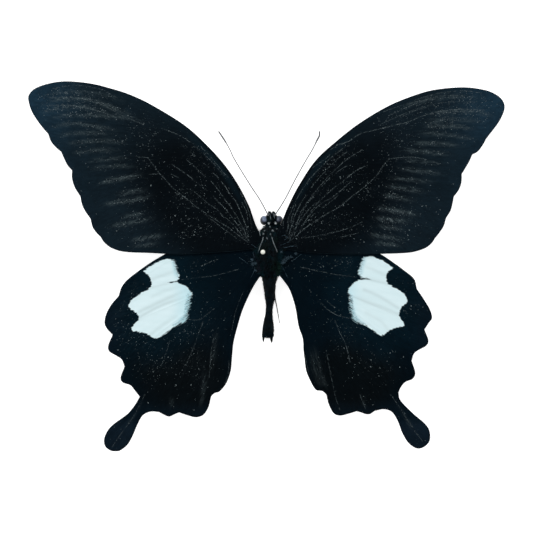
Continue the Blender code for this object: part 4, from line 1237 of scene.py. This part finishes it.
def hindwing_shade(wing, spots):
    """Teal black, greener round the patch, blacker in the middle and paler on the lobes and the tail."""
    near = smooth_step(patch_depth(wing, spots), -9, -0.5)[:, None]
    out = np.abs(spots[:, 0] - BODY_AXIS_X)
    black = 1 - smooth_step(np.hypot((out - 21) / 13, (spots[:, 1] + 28) / 11), 0.5, 1.3)
    tail = smooth_step(-spots[:, 1] + 0.25 * (out - 30), 37.5, 42)
    lobes = smooth_step(out, 34, 40) * smooth_step(spots[:, 1], -26, -16)
    shade = np.array(HIND_TEAL)[None] * (1 - black[:, None]) + np.array(HIND_BLACK)[None] * black[:, None]
    shade = shade * (1 - near) + np.array(HIND_BRIGHT)[None] * near
    hem = smooth_step(-spots[:, 1], 33, 36.5)
    pale = np.maximum(tail, np.maximum(0.5 * lobes, 0.3 * hem))[:, None]
    return shade * (1 - pale) + np.array(TAIL)[None] * pale


def patch_depth(wing, spots):
    """How far each spot lies inside the pale patch, less than 0 outside it."""
    patch = wing["patch"]
    gap = line_distance(spots, np.vstack([patch, patch[:1]]))[0]
    return np.where(inside(spots, patch), gap, -gap)


def add_wing(wing, material):
    """The wing's fine sheet, with what its material reads at each point."""
    edge, outward = inset(wing["outline"], EDGE_INSET)
    spots, verts, faces, rim = sheet_mesh(wing, edge)
    item = add_piece(wing["name"] + "_sheet", verts, faces, material)
    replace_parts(item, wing["name"])
    shade = forewing_shade(wing, spots) if wing["fore"] else hindwing_shade(wing, spots)
    give_colour(item, "shade", np.vstack([shade, shade]))
    dust = dust_share(wing, spots, 0.06) * smooth_step(rim, 0.6, 2.2)
    line = np.zeros(len(spots))
    for strength, row in wing["rows"]:
        gap = line_distance(spots, row)[0]
        line = np.maximum(line, strength * np.exp(-(gap / 0.16) ** 2))
    give(item, "dust", np.hstack([dust, dust * 0.5]))
    give(item, "line", np.hstack([line, line * 0.5]))
    give(item, "under", np.hstack([np.zeros(len(spots)), np.ones(len(spots))]))
    if wing["patch"] is not None:
        depth = patch_depth(wing, spots)
        # How strongly the painted fold shade darkens each spot of the patch
        fold = np.zeros(len(spots))
        for strength, crease in wing["folds"]:
            gap = line_distance(spots, crease)[0]
            fold = np.maximum(fold, strength * np.exp(-(gap / 0.42) ** 2))
        give(item, "patch", np.hstack([depth, depth]))
        give(item, "fold", np.hstack([fold, fold]))
        inner = smooth_step(-np.abs(spots[:, 0]), -24.5, -19.5) * (depth > 0)
        give(item, "rim", np.hstack([inner, inner]))
        fray = np.zeros(len(spots))
        for strength, ragged in wing["frays"]:
            gap, along = line_distance(spots, ragged)
            ends = smooth_step(along, 0.0, 0.15) * smooth_step(1 - along, 0.0, 0.25)
            fray = np.maximum(fray, strength * (1 - smooth_step(gap, 0.4, 1.1)) * (0.3 + 0.7 * ends))
        give(item, "fray", np.hstack([fray, fray]))
    return edge, outward


def scatter(wing, count):
    """Random spots inside a wing."""
    low, high = wing["outline"].min(axis=0), wing["outline"].max(axis=0)
    spots = low + (high - low) * rng.random((count, 2))
    return spots[inside(spots, wing["outline"])]


def beads(count, length):
    """Uneven strengths along a row, so that it breaks into beads and gaps."""
    marks = rng.random(count // length + 3)
    return np.interp(np.arange(count) / length, np.arange(len(marks)), marks)


def dust_places(wing):
    """Spots for loose pale scales, with the way each points, its size and its tone."""
    spots = scatter(wing, SCALE_TRIES)
    rim = line_distance(spots, np.vstack([wing["outline"], wing["outline"][:1]]))[0]
    # On the hindwings this dust also follows the streaks of painted sheen
    dust = dust_share(wing, spots, 0.65 if wing["fore"] else 0.5)
    tip = smooth_step(np.abs(spots[:, 0]), 34, 50) * wing["fore"]
    chance = (0.31 + 0.10 * tip) * dust ** 1.3 * smooth_step(rim, 0.8, 2.4) + 0.004 * (rim > 0.4)
    if wing["patch"] is not None:
        chance = 0.5 * chance * (patch_depth(wing, spots) < -0.3)
    chosen = rng.random(len(spots)) < chance
    spots, tip = spots[chosen], tip[chosen]
    ways = unit(spots - wing["fan"])
    near = np.linalg.norm(spots - wing["root"], axis=1) < 26
    if wing["fore"]:
        ways[near] = unit(spots[near] - wing["root"])
    bright = rng.random(len(spots)) ** 4
    parts = [(spots, ways, 0.52 + 0.4 * bright, 0.04 + 0.7 * bright)]
    for strength, row in wing["rows"]:
        line = curve(row, SCALE_ROW_STEP)
        ahead = unit(np.gradient(line, axis=0))
        bead = beads(len(line), 4)
        keep = rng.random(len(line)) < 0.25 + 0.75 * smooth_step(bead, 0.2, 0.7)
        line = line[keep] + rng.normal(0, 0.045, (keep.sum(), 2))
        tone = strength * (0.08 + 0.85 * bead[keep] * rng.random(len(line)) ** 1.3)
        parts.append((line, ahead[keep], 0.4 + 0.3 * rng.random(len(line)), tone))
    for speck in wing["specks"]:
        spots = speck + rng.normal(0, 0.045, (5, 2))
        ways = unit(rng.normal(0, 1, (5, 2)))
        parts.append((spots, ways, np.full(5, rng.uniform(0.45, 0.75)), 0.3 + 0.5 * rng.random(5)))
    return [np.concatenate(column) for column in zip(*parts)]


def add_dust(wing, material):
    """The loose pale scales that lie on a wing's upper face."""
    spots, ways, size, tone = dust_places(wing)
    within = inside(spots, wing["outline"])
    spots, ways, size, tone = spots[within], ways[within], size[within], tone[within]
    turn = rng.normal(0, 0.25, len(spots))
    ways = np.stack([ways[:, 0] * np.cos(turn) - ways[:, 1] * np.sin(turn),
                     ways[:, 0] * np.sin(turn) + ways[:, 1] * np.cos(turn)], axis=1)
    level = wing_surface(wing, spots) + SHEET_THICKNESS / 2 - 0.01
    roots = np.column_stack([spots, level])
    flat = np.column_stack([ways, np.zeros(len(ways))])
    lift = 0.035 + 0.03 * rng.random(len(spots))
    verts, faces = flakes(roots, flat, SCALE_LENGTH * size, SCALE_WIDTH * size, lift)
    item = add_piece(wing["name"] + "_pale_scales", verts, faces, material, False)
    give(item, "tone", np.repeat(tone, 4))


def add_fringe(wing, edge, outward, material):
    """A row of short dark scales that stand out from the edge."""
    line = np.vstack([edge, edge[:1]])
    gaps = np.linalg.norm(np.diff(line, axis=0), axis=1)
    reach = np.concatenate([[0], np.cumsum(gaps)])
    steps = np.arange(0, reach[-1], FRINGE_STEP)
    steps = steps + rng.uniform(-0.02, 0.02, len(steps))
    spots = np.stack([np.interp(steps, reach, line[:, k]) for k in range(2)], axis=1)
    out = np.vstack([outward, outward[:1]])
    ways = unit(np.stack([np.interp(steps, reach, out[:, k]) for k in range(2)], axis=1))
    roots = spots - ways * FRINGE_ROOT
    level = wing["height"](roots[:, 0], roots[:, 1])
    length = FRINGE_ROOT + EDGE_INSET * (0.72 + 0.26 * rng.random(len(spots)))
    verts, faces = flakes(np.column_stack([roots, level]), np.column_stack([ways, np.zeros(len(ways))]),
                          length, np.full(len(spots), 0.12), np.full(len(spots), 0.03))
    item = add_piece(wing["name"] + "_fringe", verts, faces, material, False)
    give(item, "tone", np.repeat(rng.random(len(spots)), 4))


def add_patch_brush(wing, brush, ragged, material, slot):
    """Long loose pale scales where the patch's inner edge frays."""
    toward = 1.0 if wing["side"] == "left" else -1.0
    spots, ways, length, tone = [], [], [], []
    for line, step, reach in ((brush, 0.045, 1.0), (ragged, 0.07, 0.45)):
        line = curve(from_photo(line), step)
        count = len(line)
        line = line - np.column_stack([toward * rng.uniform(0.35, 1.3, count) * reach, np.zeros(count)])
        turn = rng.normal(0.12, 0.2, count)
        spots.append(line)
        ways.append(np.column_stack([toward * np.cos(turn), np.sin(turn)]))
        length.append((0.3 + 0.35 * rng.random(count)) * (0.6 + 0.4 * reach))
        tone.append(rng.random(count))
    spots, ways = np.vstack(spots), np.vstack(ways)
    length, tone = np.hstack(length), np.hstack(tone)
    level = wing_surface(wing, spots) + SHEET_THICKNESS / 2 - 0.01
    verts, faces = flakes(np.column_stack([spots, level]), np.column_stack([ways, np.zeros(len(ways))]),
                          length, np.full(len(spots), 0.09), np.full(len(spots), 0.05))
    item = add_piece(wing["name"] + "_patch_brush", verts, faces, material, False)
    give(item, "tone", np.repeat(tone, 4))


# Body

def stations_at(stations, share):
    """The body's measures at shares of the way along its list, smoothly between the stations."""
    table = np.array(stations)
    spot = np.clip(share, 0, 1) * (len(table) - 1)
    k = np.minimum(spot.astype(int), len(table) - 2)
    f = (spot - k)[:, None]
    before, here = table[np.maximum(k - 1, 0)], table[k]
    there, after = table[k + 1], table[np.minimum(k + 2, len(table) - 1)]
    bend = (2 * before - 5 * here + 4 * there - after) * f * f
    twist = (3 * here - before - 3 * there + after) * f ** 3
    return 0.5 * (2 * here + (there - before) * f + bend + twist)


def body_points(stations, share, turn, swell=0.0):
    """Points on a body at shares along it and turns about it, from its side over the top."""
    y, middle, half, low, high = stations_at(stations, share).T
    return np.column_stack([middle + (half + swell) * np.cos(turn), y,
                            (low + high) / 2 + ((high - low) / 2 + swell) * np.sin(turn)])


def body_mesh(stations, rings, around, relief):
    """A smooth skin over the stations. The relief moves each point out, by where it is."""
    shares = 0.5 - 0.5 * np.cos(np.linspace(0, pi, rings))
    turn = np.arange(around) * 2 * pi / around
    grid = []
    for share in shares:
        line = body_points(stations, np.full(around, share), turn)
        out = unit(line - line.mean(axis=0))
        grid.append(line + out * relief(line, turn, share)[:, None])
    return rings_mesh(np.array(grid))


def clear_of_marks(roots):
    """Which hairs don't stand on a pale dot or line."""
    clear = np.ones(len(roots), bool)
    for middle, half, strength in BODY_DOTS:
        clear &= np.linalg.norm(roots[:, :2] - from_photo([middle])[0], axis=1) > half * PIXEL * 1.15
    for strength, places in BODY_LINES:
        clear &= line_distance(roots[:, :2], from_photo(places))[0] > 0.2
    return clear | (roots[:, 2] < 4.5)


def body_fur(stations, count, shortest, longest, width, lie):
    """Hairs all over a body, lying back along it."""
    share = 0.02 + 0.96 * rng.random(count)
    turn = rng.random(count) * 2 * pi
    clear = clear_of_marks(body_points(stations, share, turn))
    share, turn = share[clear], turn[clear]
    roots = body_points(stations, share, turn, -0.05)
    axis = body_points(stations, share, turn, -0.6)
    out = unit(roots - axis)
    back = np.array([0.0, -1.0, 0.0])
    ways = unit(out * (1 - lie) + back * lie + rng.normal(0, 0.22, (len(share), 3)))
    length = shortest + (longest - shortest) * rng.random(len(share))
    return roots, ways, length, np.full(len(share), width) * (0.7 + 0.6 * rng.random(len(share)))


def top_of_body(spots):
    """The height of the body's back at each spot, or the wings' height where it has none."""
    level = np.maximum(forewing_height(*spots.T), hindwing_height(*spots.T)) + 0.1
    for stations in (HEAD, THORAX, ABDOMEN):
        table = stations_at(stations, np.linspace(0, 1, 120))[::-1]
        y, middle, half, low, high = (np.interp(spots[:, 1], table[:, 0], table[:, k]) for k in range(5))
        side = (spots[:, 0] - middle) / np.maximum(half, 0.01)
        on = (spots[:, 1] > table[0, 0]) & (spots[:, 1] < table[-1, 0]) & (np.abs(side) < 1)
        rise = np.sqrt(np.clip(1 - side * side, 0, 1))
        level = np.where(on, (low + high) / 2 + (high - low) / 2 * rise, level)
    return level


def add_strands(name, parts, material, tones, droop=(0.0, -0.1, -0.15)):
    roots, ways, length, width = (np.concatenate(column) for column in zip(*parts))
    verts, faces = strands(roots, ways, length, width, np.array(droop))
    item = add_piece(name, verts, faces, material)
    fade = np.tile(STRAND_FADE, len(roots))
    give(item, "tone", np.repeat(np.asarray(tones), len(STRAND_FADE)) * fade)


def abdomen_relief(line, turn, share):
    """Overlapping rings: each rises towards its hind edge and drops to the next."""
    y = line[:, 1]
    ring = np.mod((ABDOMEN_RING_START - y) / ABDOMEN_RING, 1.0)
    rise = ABDOMEN_RING_RISE * smooth_step(ring, 0.0, 0.75)
    drop = ABDOMEN_RING_RISE * smooth_step(ring, 0.86, 1.0)
    return (rise - drop - 0.05) * min(1.0, 4 * share) + 0.012 * np.sin(9 * turn + 3 * y)


def thorax_relief(line, turn, share):
    """Two long muscle swellings over the back, with a groove between them."""
    swell = 0.10 * np.cos(4 * turn - pi) * smooth_step(line[:, 2], 5.5, 7.5) * sin(pi * share)
    return swell - 0.06 + 0.02 * np.sin(7 * turn + 2.3 * line[:, 1]) * np.sin(3.1 * line[:, 1])


def plain_relief(line, turn, share):
    return np.full(len(line), -0.04) + 0.015 * np.sin(5 * turn + 4 * line[:, 1])


def add_body(shell, fur, dark_fur):
    """Head, thorax and abdomen with the soft skin between them, and their fur."""
    pieces = {
        "thorax_shell": (body_mesh(THORAX, 90, 72, thorax_relief), "thorax"),
        "head_shell": (body_mesh(HEAD, 40, 56, plain_relief), "head"),
        "neck_membrane": (body_mesh(NECK, 16, 40, plain_relief), None),
        "waist_membrane": (body_mesh(WAIST, 16, 40, plain_relief), None),
    }
    for name, ((verts, faces), node) in pieces.items():
        item = add_piece(name, verts, faces, shell)
        if node:
            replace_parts(item, node)
    for side, middle in ROOT_MEMBRANES.items():
        around = 40
        turn = np.arange(around) * 2 * pi / around
        rings = []
        for tilt in np.linspace(0.06, pi - 0.06, 18):
            pucker = 1 + 0.05 * np.sin(5 * turn + 3 * tilt)
            ring = np.column_stack([sin(tilt) * np.cos(turn) * pucker, sin(tilt) * np.sin(turn) * pucker,
                                    np.full(around, cos(tilt))])
            rings.append(np.array(middle) + ring * np.array(ROOT_MEMBRANE_SIZE))
        verts, faces = rings_mesh(np.array(rings))
        add_piece("wing_root_membrane_" + side, verts, faces, shell)
    parts = [body_mesh(ABDOMEN, 150, 56, abdomen_relief)]
    for start, end, wide, narrow in CLASPERS:
        start, end = np.array(start), np.array(end)
        shares = np.linspace(0, 1, 14)
        arch = np.array([0.0, 0.0, CLASPER_ARCH]) * np.sin(pi * shares)[:, None]
        line = start + (end - start) * shares[:, None] + arch
        radii = wide + (narrow - wide) * shares - narrow * 0.75 * shares ** 8
        parts.append(tube_mesh(line, radii, 20))
    verts, faces = join_meshes(parts)
    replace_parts(add_piece("abdomen_shell", verts, faces, shell), "abdomen")
    coats = {
        "thorax_fur": [body_fur(THORAX, *THORAX_FUR), body_fur(WAIST, *WAIST_FUR)],
        "head_fur": [body_fur(HEAD, *HEAD_FUR), body_fur(NECK, *NECK_FUR)],
        "abdomen_fur": [body_fur(ABDOMEN, *ABDOMEN_FUR)],
    }
    for name, parts in coats.items():
        count = sum(len(part[0]) for part in parts)
        coat = dark_fur if name == "abdomen_fur" else fur
        add_strands(name, parts, coat, 0.9 * rng.random(count) ** 2)


def hair_line(places, strength, step, length, width):
    """Hairs that lie along a line of places on the back."""
    line = curve(from_photo(places), step)
    ahead = unit(np.gradient(line, axis=0))
    line = line + rng.normal(0, 0.6 * width, line.shape)
    count = len(line)
    roots = np.column_stack([line, top_of_body(line) + 0.25])
    ways = unit(np.column_stack([ahead, 0.12 + 0.1 * rng.random(count)]) + rng.normal(0, 0.1, (count, 3)))
    keep = rng.random(count) < 0.4 + 0.6 * strength
    size = length * (0.7 + 0.6 * rng.random(count))
    return roots[keep], ways[keep], size[keep], np.full(keep.sum(), width)


def hair_spot(middle, half, count, way, length, width, lift):
    """A clump of hairs about a place on the back."""
    spots = from_photo([middle]) + rng.normal(0, half * PIXEL * 0.4, (count, 2))
    roots = np.column_stack([spots, top_of_body(spots) + lift])
    ways = unit(np.array(way) + rng.normal(0, 0.25, (count, 3)))
    return roots, ways, length * (0.6 + 0.8 * rng.random(count)), np.full(count, width)


def add_pale_hair(material, soft, fur):
    parts = []
    tones = []
    for middle, half, strength in BODY_DOTS:
        count = int(DOT_HAIRS * strength) + 8
        parts.append(hair_spot(middle, half, count, (0.0, -0.3, 1.0), 0.42, 0.09, 0.05))
        tones.append(np.full(len(parts[-1][0]), strength ** 2))
    for strength, places in BODY_LINES:
        parts.append(hair_line(places, strength, 0.035, 0.5, 0.07))
        tones.append(strength * (0.1 + 0.35 * rng.random(len(parts[-1][0]))))
    add_strands("body_pale_hair", parts, material, np.concatenate(tones))
    parts = []
    for middle, half, strength in WING_ROOT_TUFTS:
        out = 1.0 if middle[0] > BODY_COLUMN else -1.0
        count = int(PALE_TUFT_HAIRS * strength)
        parts.append(hair_spot(middle, 1.4 * half, count, (0.6 * out, 0.3, 0.25), 0.6, 0.055, 0.1))
    for strength, places in WING_ROOT_LINES:
        parts.append(hair_line(places, strength, 0.10, 0.5, 0.045))
    count = sum(len(part[0]) for part in parts)
    add_strands("wing_root_pale_hair", parts, soft, rng.random(count) ** 2)
    parts = []
    for middle, half, way, length in DARK_TUFTS:
        parts.append(hair_spot(middle, half, DARK_TUFT_HAIRS, way, length, 0.08, -0.3))
    count = sum(len(part[0]) for part in parts)
    add_strands("head_tufts", parts, fur, rng.random(count) ** 3)
    parts = []
    for out in (-1.0, 1.0):
        count = WING_ROOT_HAIRS
        y = rng.uniform(-2.0, 9.2, count)
        side = stations_at(THORAX, np.interp(-y, -np.array(THORAX)[:, 0], np.linspace(0, 1, len(THORAX))))
        x = side[:, 1] + out * (side[:, 2] - rng.uniform(0.1, 0.9, count))
        spots = np.column_stack([x, y])
        roots = np.column_stack([spots, np.maximum(forewing_height(x, y) - 0.1, top_of_body(spots) - 0.25)])
        ways = unit(np.column_stack([np.full(count, out), rng.normal(-0.25, 0.35, count),
                                     rng.normal(0.0, 0.12, count)]))
        parts.append((roots, ways, rng.uniform(0.8, 1.9, count), rng.uniform(0.05, 0.09, count)))
    add_strands("wing_root_fur", parts, fur, rng.random(2 * WING_ROOT_HAIRS) ** 1.3)


# Eyes, feelers, legs and pin

def add_eye(side, material):
    """A compound eye: a close-packed skin of tiny domes."""
    work = bmesh.new()
    bmesh.ops.create_icosphere(work, subdivisions=5, radius=1.0)
    peaks = set(work.verts)
    bmesh.ops.subdivide_edges(work, edges=work.edges[:], cuts=1, use_grid_fill=True)
    for vert in work.verts:
        radius = 1.0 if vert in peaks else 0.985
        vert.co = vert.co.normalized() * radius
    centre = np.array(EYE_PLACES[side])
    verts = np.array([vert.co for vert in work.verts]) * np.array(EYE_SIZE) + centre
    work.verts.index_update()
    faces = [tuple(vert.index for vert in face.verts) for face in work.faces]
    work.free()
    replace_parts(add_piece("eye_" + side + "_facets", verts, faces, material), "eye_" + side)


def add_antenna(side, material):
    line = curve(ANTENNAE[side], ANTENNA_RING / 6)
    reach = np.concatenate([[0], np.cumsum(np.linalg.norm(np.diff(line, axis=0), axis=1))])
    share = reach / reach[-1]
    club = np.clip((share - ANTENNA_CLUB_START) / (1 - ANTENNA_CLUB_START), 0, 1)
    swell = (ANTENNA_CLUB_RADIUS - ANTENNA_RADIUS) * np.sin(pi * np.minimum(club, 0.75))
    ring = np.mod(reach / ANTENNA_RING, 1.0)
    radii = (ANTENNA_RADIUS + swell) * (0.94 + 0.06 * np.sin(pi * ring) ** 0.6)
    radii = radii * np.sqrt(np.clip((1 - share) * 90, 0.05, 1))
    bulb = 0.10 * np.exp(-((share - 0.012) / 0.012) ** 2)
    verts, faces = tube_mesh(line, radii + bulb, 14)
    piece = add_piece("antenna_" + side + "_ringed", verts, faces, material)
    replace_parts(piece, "antenna_" + side)


def add_palp(side, shell, fur):
    line = curve(PALPS[side], 0.1)
    share = np.linspace(0, 1, len(line))
    radii = PALP_RADIUS * (0.45 + 0.5 * np.sin(pi * np.clip(share, 0.04, 0.97)))
    verts, faces = tube_mesh(line, radii, 18)
    piece = add_piece("palp_" + side + "_shell", verts, faces, shell)
    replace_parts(piece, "palp_" + side)
    count = PALP_HAIRS
    pick = rng.integers(1, len(line) - 1, count)
    ahead = unit(np.gradient(line, axis=0))[pick]
    out = unit(np.cross(ahead, rng.normal(0, 1, (count, 3))))
    roots = line[pick] + out * radii[pick][:, None] * 0.9
    part = (roots, unit(out * 0.6 + ahead * 0.8), 0.2 + 0.25 * rng.random(count), np.full(count, 0.06))
    add_strands("palp_" + side + "_fur", [part], fur, rng.random(count), (0.0, 0.0, 0.0))


def add_proboscis(material):
    x, y, z = PROBOSCIS_CENTRE
    inner, outer = PROBOSCIS_COIL
    share = np.linspace(0, 1, 260)
    angle = radians(80) + 2 * pi * PROBOSCIS_TURNS * share
    radius = outer + (inner - outer) * share
    line = np.column_stack([np.full(260, x), y - radius * np.cos(angle), z + radius * np.sin(angle)])
    radii = PROBOSCIS_RADIUS * (0.9 + 0.1 * np.abs(np.sin(share * 90 * pi))) * (1 - 0.35 * share)
    verts, faces = tube_mesh(line, radii, 12)
    piece = add_piece("proboscis_coil", verts, faces, material)
    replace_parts(piece, "proboscis")


def add_leg(name, joints, material):
    """A leg of tapered parts that swell at the joints, with spines and two claws."""
    parts = []
    joints = np.array(joints)
    for k, (near, far) in enumerate(zip(joints, joints[1:])):
        slices = 4 if k >= 2 else 1
        for j in range(slices):
            a = near + (far - near) * j / slices
            b = near + (far - near) * (j + 1) / slices
            share = np.linspace(-0.03, 1.03, 12)[:, None]
            line = a[:3] + (b[:3] - a[:3]) * share
            radii = (a[3] + (b[3] - a[3]) * share[:, 0]) * (0.82 + 0.18 * np.cos(2 * pi * share[:, 0]) ** 2)
            radii[0] *= 0.5
            radii[-1] *= 0.6
            parts.append(tube_mesh(line, np.minimum(radii, line[:, 2] + 0.001), 14))
    tip = joints[-1][:3]
    ahead = unit(joints[-1][:3] - joints[-2][:3])
    side = unit(np.cross(ahead, (0, 0, 1)))
    for way in (-1, 1):
        share = np.linspace(0, 1, 7)[:, None]
        line = tip + ahead * 0.3 * share + side * way * 0.22 * share ** 0.6
        line[:, 2] = np.maximum(line[:, 2] - 0.07 * share[:, 0] ** 2, 0.03)
        parts.append(tube_mesh(line, 0.045 * (1 - 0.85 * share[:, 0]), 8))
    count = LEG_SPINES
    leg = rng.integers(1, len(joints) - 1, count)
    share = rng.random(count)[:, None]
    base = joints[leg] + (joints[leg + 1] - joints[leg]) * share
    ahead = unit(joints[leg + 1][:, :3] - joints[leg][:, :3])
    out = unit(np.cross(ahead, rng.normal(0, 1, (count, 3))))
    out[:, 2] = np.abs(out[:, 2])
    roots = base[:, :3] + out * base[:, 3:4] * 0.8
    length = 0.16 + 0.16 * rng.random(count)
    parts.append(strands(roots, unit(out + ahead * 0.9), length, np.full(count, 0.04), np.zeros(3)))
    verts, faces = join_meshes(parts)
    verts[:, 2] = np.maximum(verts[:, 2], 0.0)
    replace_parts(add_piece(name + "_shell", verts, faces, material), name)


def add_pin(enamel, steel):
    """A bead head on a steel shaft that ends in a plain cut."""
    turn = np.arange(48) * 2 * pi / 48

    def lathe(profile):
        rings = [np.column_stack([PIN_X + r * np.cos(turn), PIN_Y + r * np.sin(turn), np.full(48, z)])
                 for r, z in profile]
        return rings_mesh(np.array(rings))

    angles = np.linspace(0.02, pi - 0.42, 40)
    bead = [(PIN_HEAD_RADIUS * sin(a), PIN_HEAD_HEIGHT + 0.83 * PIN_HEAD_RADIUS * cos(a)) for a in angles]
    verts, faces = lathe(bead)
    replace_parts(add_piece("pin_head", verts, faces, enamel), "insect_pin")
    shaft = [(PIN_RADIUS - 0.03, 0.0), (PIN_RADIUS, 0.03)]
    shaft += [(PIN_RADIUS, z) for z in np.linspace(0.3, PIN_HEAD_HEIGHT - 0.2, 20)]
    verts, faces = lathe(shaft)
    add_piece("pin_shaft", verts, faces, steel)


# Stage

def add_stage():
    mesh = bpy.data.meshes.new("floor")
    corners = [(x * FLOOR_HALF, y * FLOOR_HALF, 0) for x, y in ((-1, -1), (1, -1), (1, 1), (-1, 1))]
    mesh.from_pydata(corners, [], [(0, 1, 2, 3)])
    mesh.materials.append(floor_material())
    floor = bpy.data.objects.new("floor", mesh)
    bpy.context.scene.collection.objects.link(floor)


def add_light(name, spot, size, power):
    data = bpy.data.lights.new(name, "AREA")
    data.shape = "DISK"
    data.size = size
    data.energy = power
    light = bpy.data.objects.new(name, data)
    light.location = spot
    light.rotation_euler = (-Vector(spot)).to_track_quat("-Z", "Y").to_euler()
    bpy.context.scene.collection.objects.link(light)


def add_lights():
    world = bpy.data.worlds.new("studio")
    world.use_nodes = True
    sky = world.node_tree.nodes["Background"]
    sky.inputs["Color"].default_value = (1.0, 1.0, 1.0, 1.0)
    sky.inputs["Strength"].default_value = SKY_STRENGTH
    bpy.context.scene.world = world
    add_light("key", *KEY_LIGHT)
    add_light("fill", *FILL_LIGHT)
    bpy.context.scene.view_settings.view_transform = "Standard"


def add_camera():
    data = bpy.data.cameras.new("camera")
    data.sensor_width = SENSOR
    data.lens = SENSOR * (CAMERA_HEIGHT - VIEW_LEVEL) / VIEW_WIDTH
    camera = bpy.data.objects.new("camera", data)
    camera.location = (0.0, 0.0, CAMERA_HEIGHT * MM)
    bpy.context.scene.collection.objects.link(camera)
    bpy.context.scene.camera = camera


def main():
    add_camera()
    add_stage()
    add_lights()
    fore_right = [to_right(vein, FOREWING_TO_RIGHT) for vein in FOREWING_VEINS]
    hind_right = [to_right(vein, HINDWING_TO_RIGHT) for vein in HINDWING_VEINS]
    wings = [
        make_wing("forewing_left", "left", "fore", FOREWING_LEFT_OUTLINE, FOREWING_VEINS, LEFT_RAYS,
                  LEFT_FOREWING_ROWS, LEFT_FOREWING_CLOUDS, forewing_specks(LEFT_SPECKS)),
        make_wing("forewing_right", "right", "fore", FOREWING_RIGHT_OUTLINE, fore_right, RIGHT_RAYS,
                  RIGHT_FOREWING_ROWS, RIGHT_FOREWING_CLOUDS, forewing_specks(RIGHT_SPECKS)),
        make_wing("hindwing_left", "left", "hind", HINDWING_LEFT_OUTLINE, HINDWING_VEINS,
                  LEFT_HIND_PAINTED_SHEEN, LEFT_HINDWING_ROWS, LEFT_HINDWING_CLOUDS,
                  hindwing_specks(LEFT_SPECKS), LEFT_PATCH, LEFT_FOLDS,
                  [(1.0, LEFT_BRUSH), (0.5, LEFT_RAGGED)]),
        make_wing("hindwing_right", "right", "hind", HINDWING_RIGHT_OUTLINE, hind_right,
                  RIGHT_HIND_PAINTED_SHEEN, RIGHT_HINDWING_ROWS, RIGHT_HINDWING_CLOUDS,
                  hindwing_specks(RIGHT_SPECKS), RIGHT_PATCH, RIGHT_FOLDS,
                  [(1.0, RIGHT_BRUSH), (0.5, RIGHT_RAGGED)]),
    ]
    dust = hair_material("pale_scale", DUST, SPECK, 0.6, 0.05)
    fringe = hair_material("dark_scale", linear(7, 12, 16), linear(20, 32, 38), 0.7, 0.02)
    feather = hair_material("patch_scale", FEATHER, PATCH, 0.6, 0.05)
    brushes = {"hindwing_left": (LEFT_BRUSH, LEFT_RAGGED), "hindwing_right": (RIGHT_BRUSH, RIGHT_RAGGED)}
    for wing in wings:
        slot = "forewing_scales" if wing["fore"] else "hindwing_scales"
        centre = (FAN_CENTRES if wing["fore"] else HIND_ROOTS)[wing["side"]]
        material = wing_material(wing["name"] + "_scales", centre, not wing["fore"])
        edge, outward = add_wing(wing, material)
        add_fringe(wing, edge, outward, fringe)
        add_dust(wing, dust)
        if wing["name"] in brushes:
            add_patch_brush(wing, *brushes[wing["name"]], feather, slot)
    shell = shell_material("body_shell", linear(3, 6, 8), linear(10, 17, 20), 0.6, 0.03, 900, 0.02)
    fur = hair_material("dark_fur", linear(1, 8, 11), linear(24, 54, 64), 0.6, 0.03,
                        (linear(26, 50, 44), linear(36, 42, 52)))
    dark_fur = hair_material("abdomen_fur", linear(1, 6, 10), linear(14, 38, 52), 0.6, 0.03)
    pale = hair_material("pale_hair", linear(46, 66, 76), linear(225, 235, 238), 0.55, 0.1)
    soft = hair_material("root_hair", linear(14, 28, 36), linear(104, 130, 146), 0.6, 0.05)
    add_body(shell, fur, dark_fur)
    add_pale_hair(pale, soft, fur)
    eye = eye_material_painted_reflection()
    feeler = shell_material("feeler_shell", linear(90, 92, 94), linear(112, 114, 116), 0.5, 0.2, 1500, 0.01)
    leg = shell_material("leg_shell", linear(22, 23, 25), linear(52, 50, 48), 0.5, 0.2, 1200, 0.01)
    for side in ("left", "right"):
        add_eye(side, eye)
        add_antenna(side, feeler)
        add_palp(side, shell, fur)
    add_proboscis(feeler)
    for name, joints in LEGS.items():
        add_leg(name, joints, leg)
    enamel = shell_material("pin_head_enamel", linear(214, 216, 206), linear(230, 231, 224),
                            0.25, 0.5, 800, 0.002)
    steel = shell_material("pin_steel", linear(120, 122, 125), linear(165, 168, 172),
                           0.3, 0.5, 2500, 0.002)
    steel.node_tree.nodes["Principled BSDF"].inputs["Metallic"].default_value = 1.0
    add_pin(enamel, steel)


main()
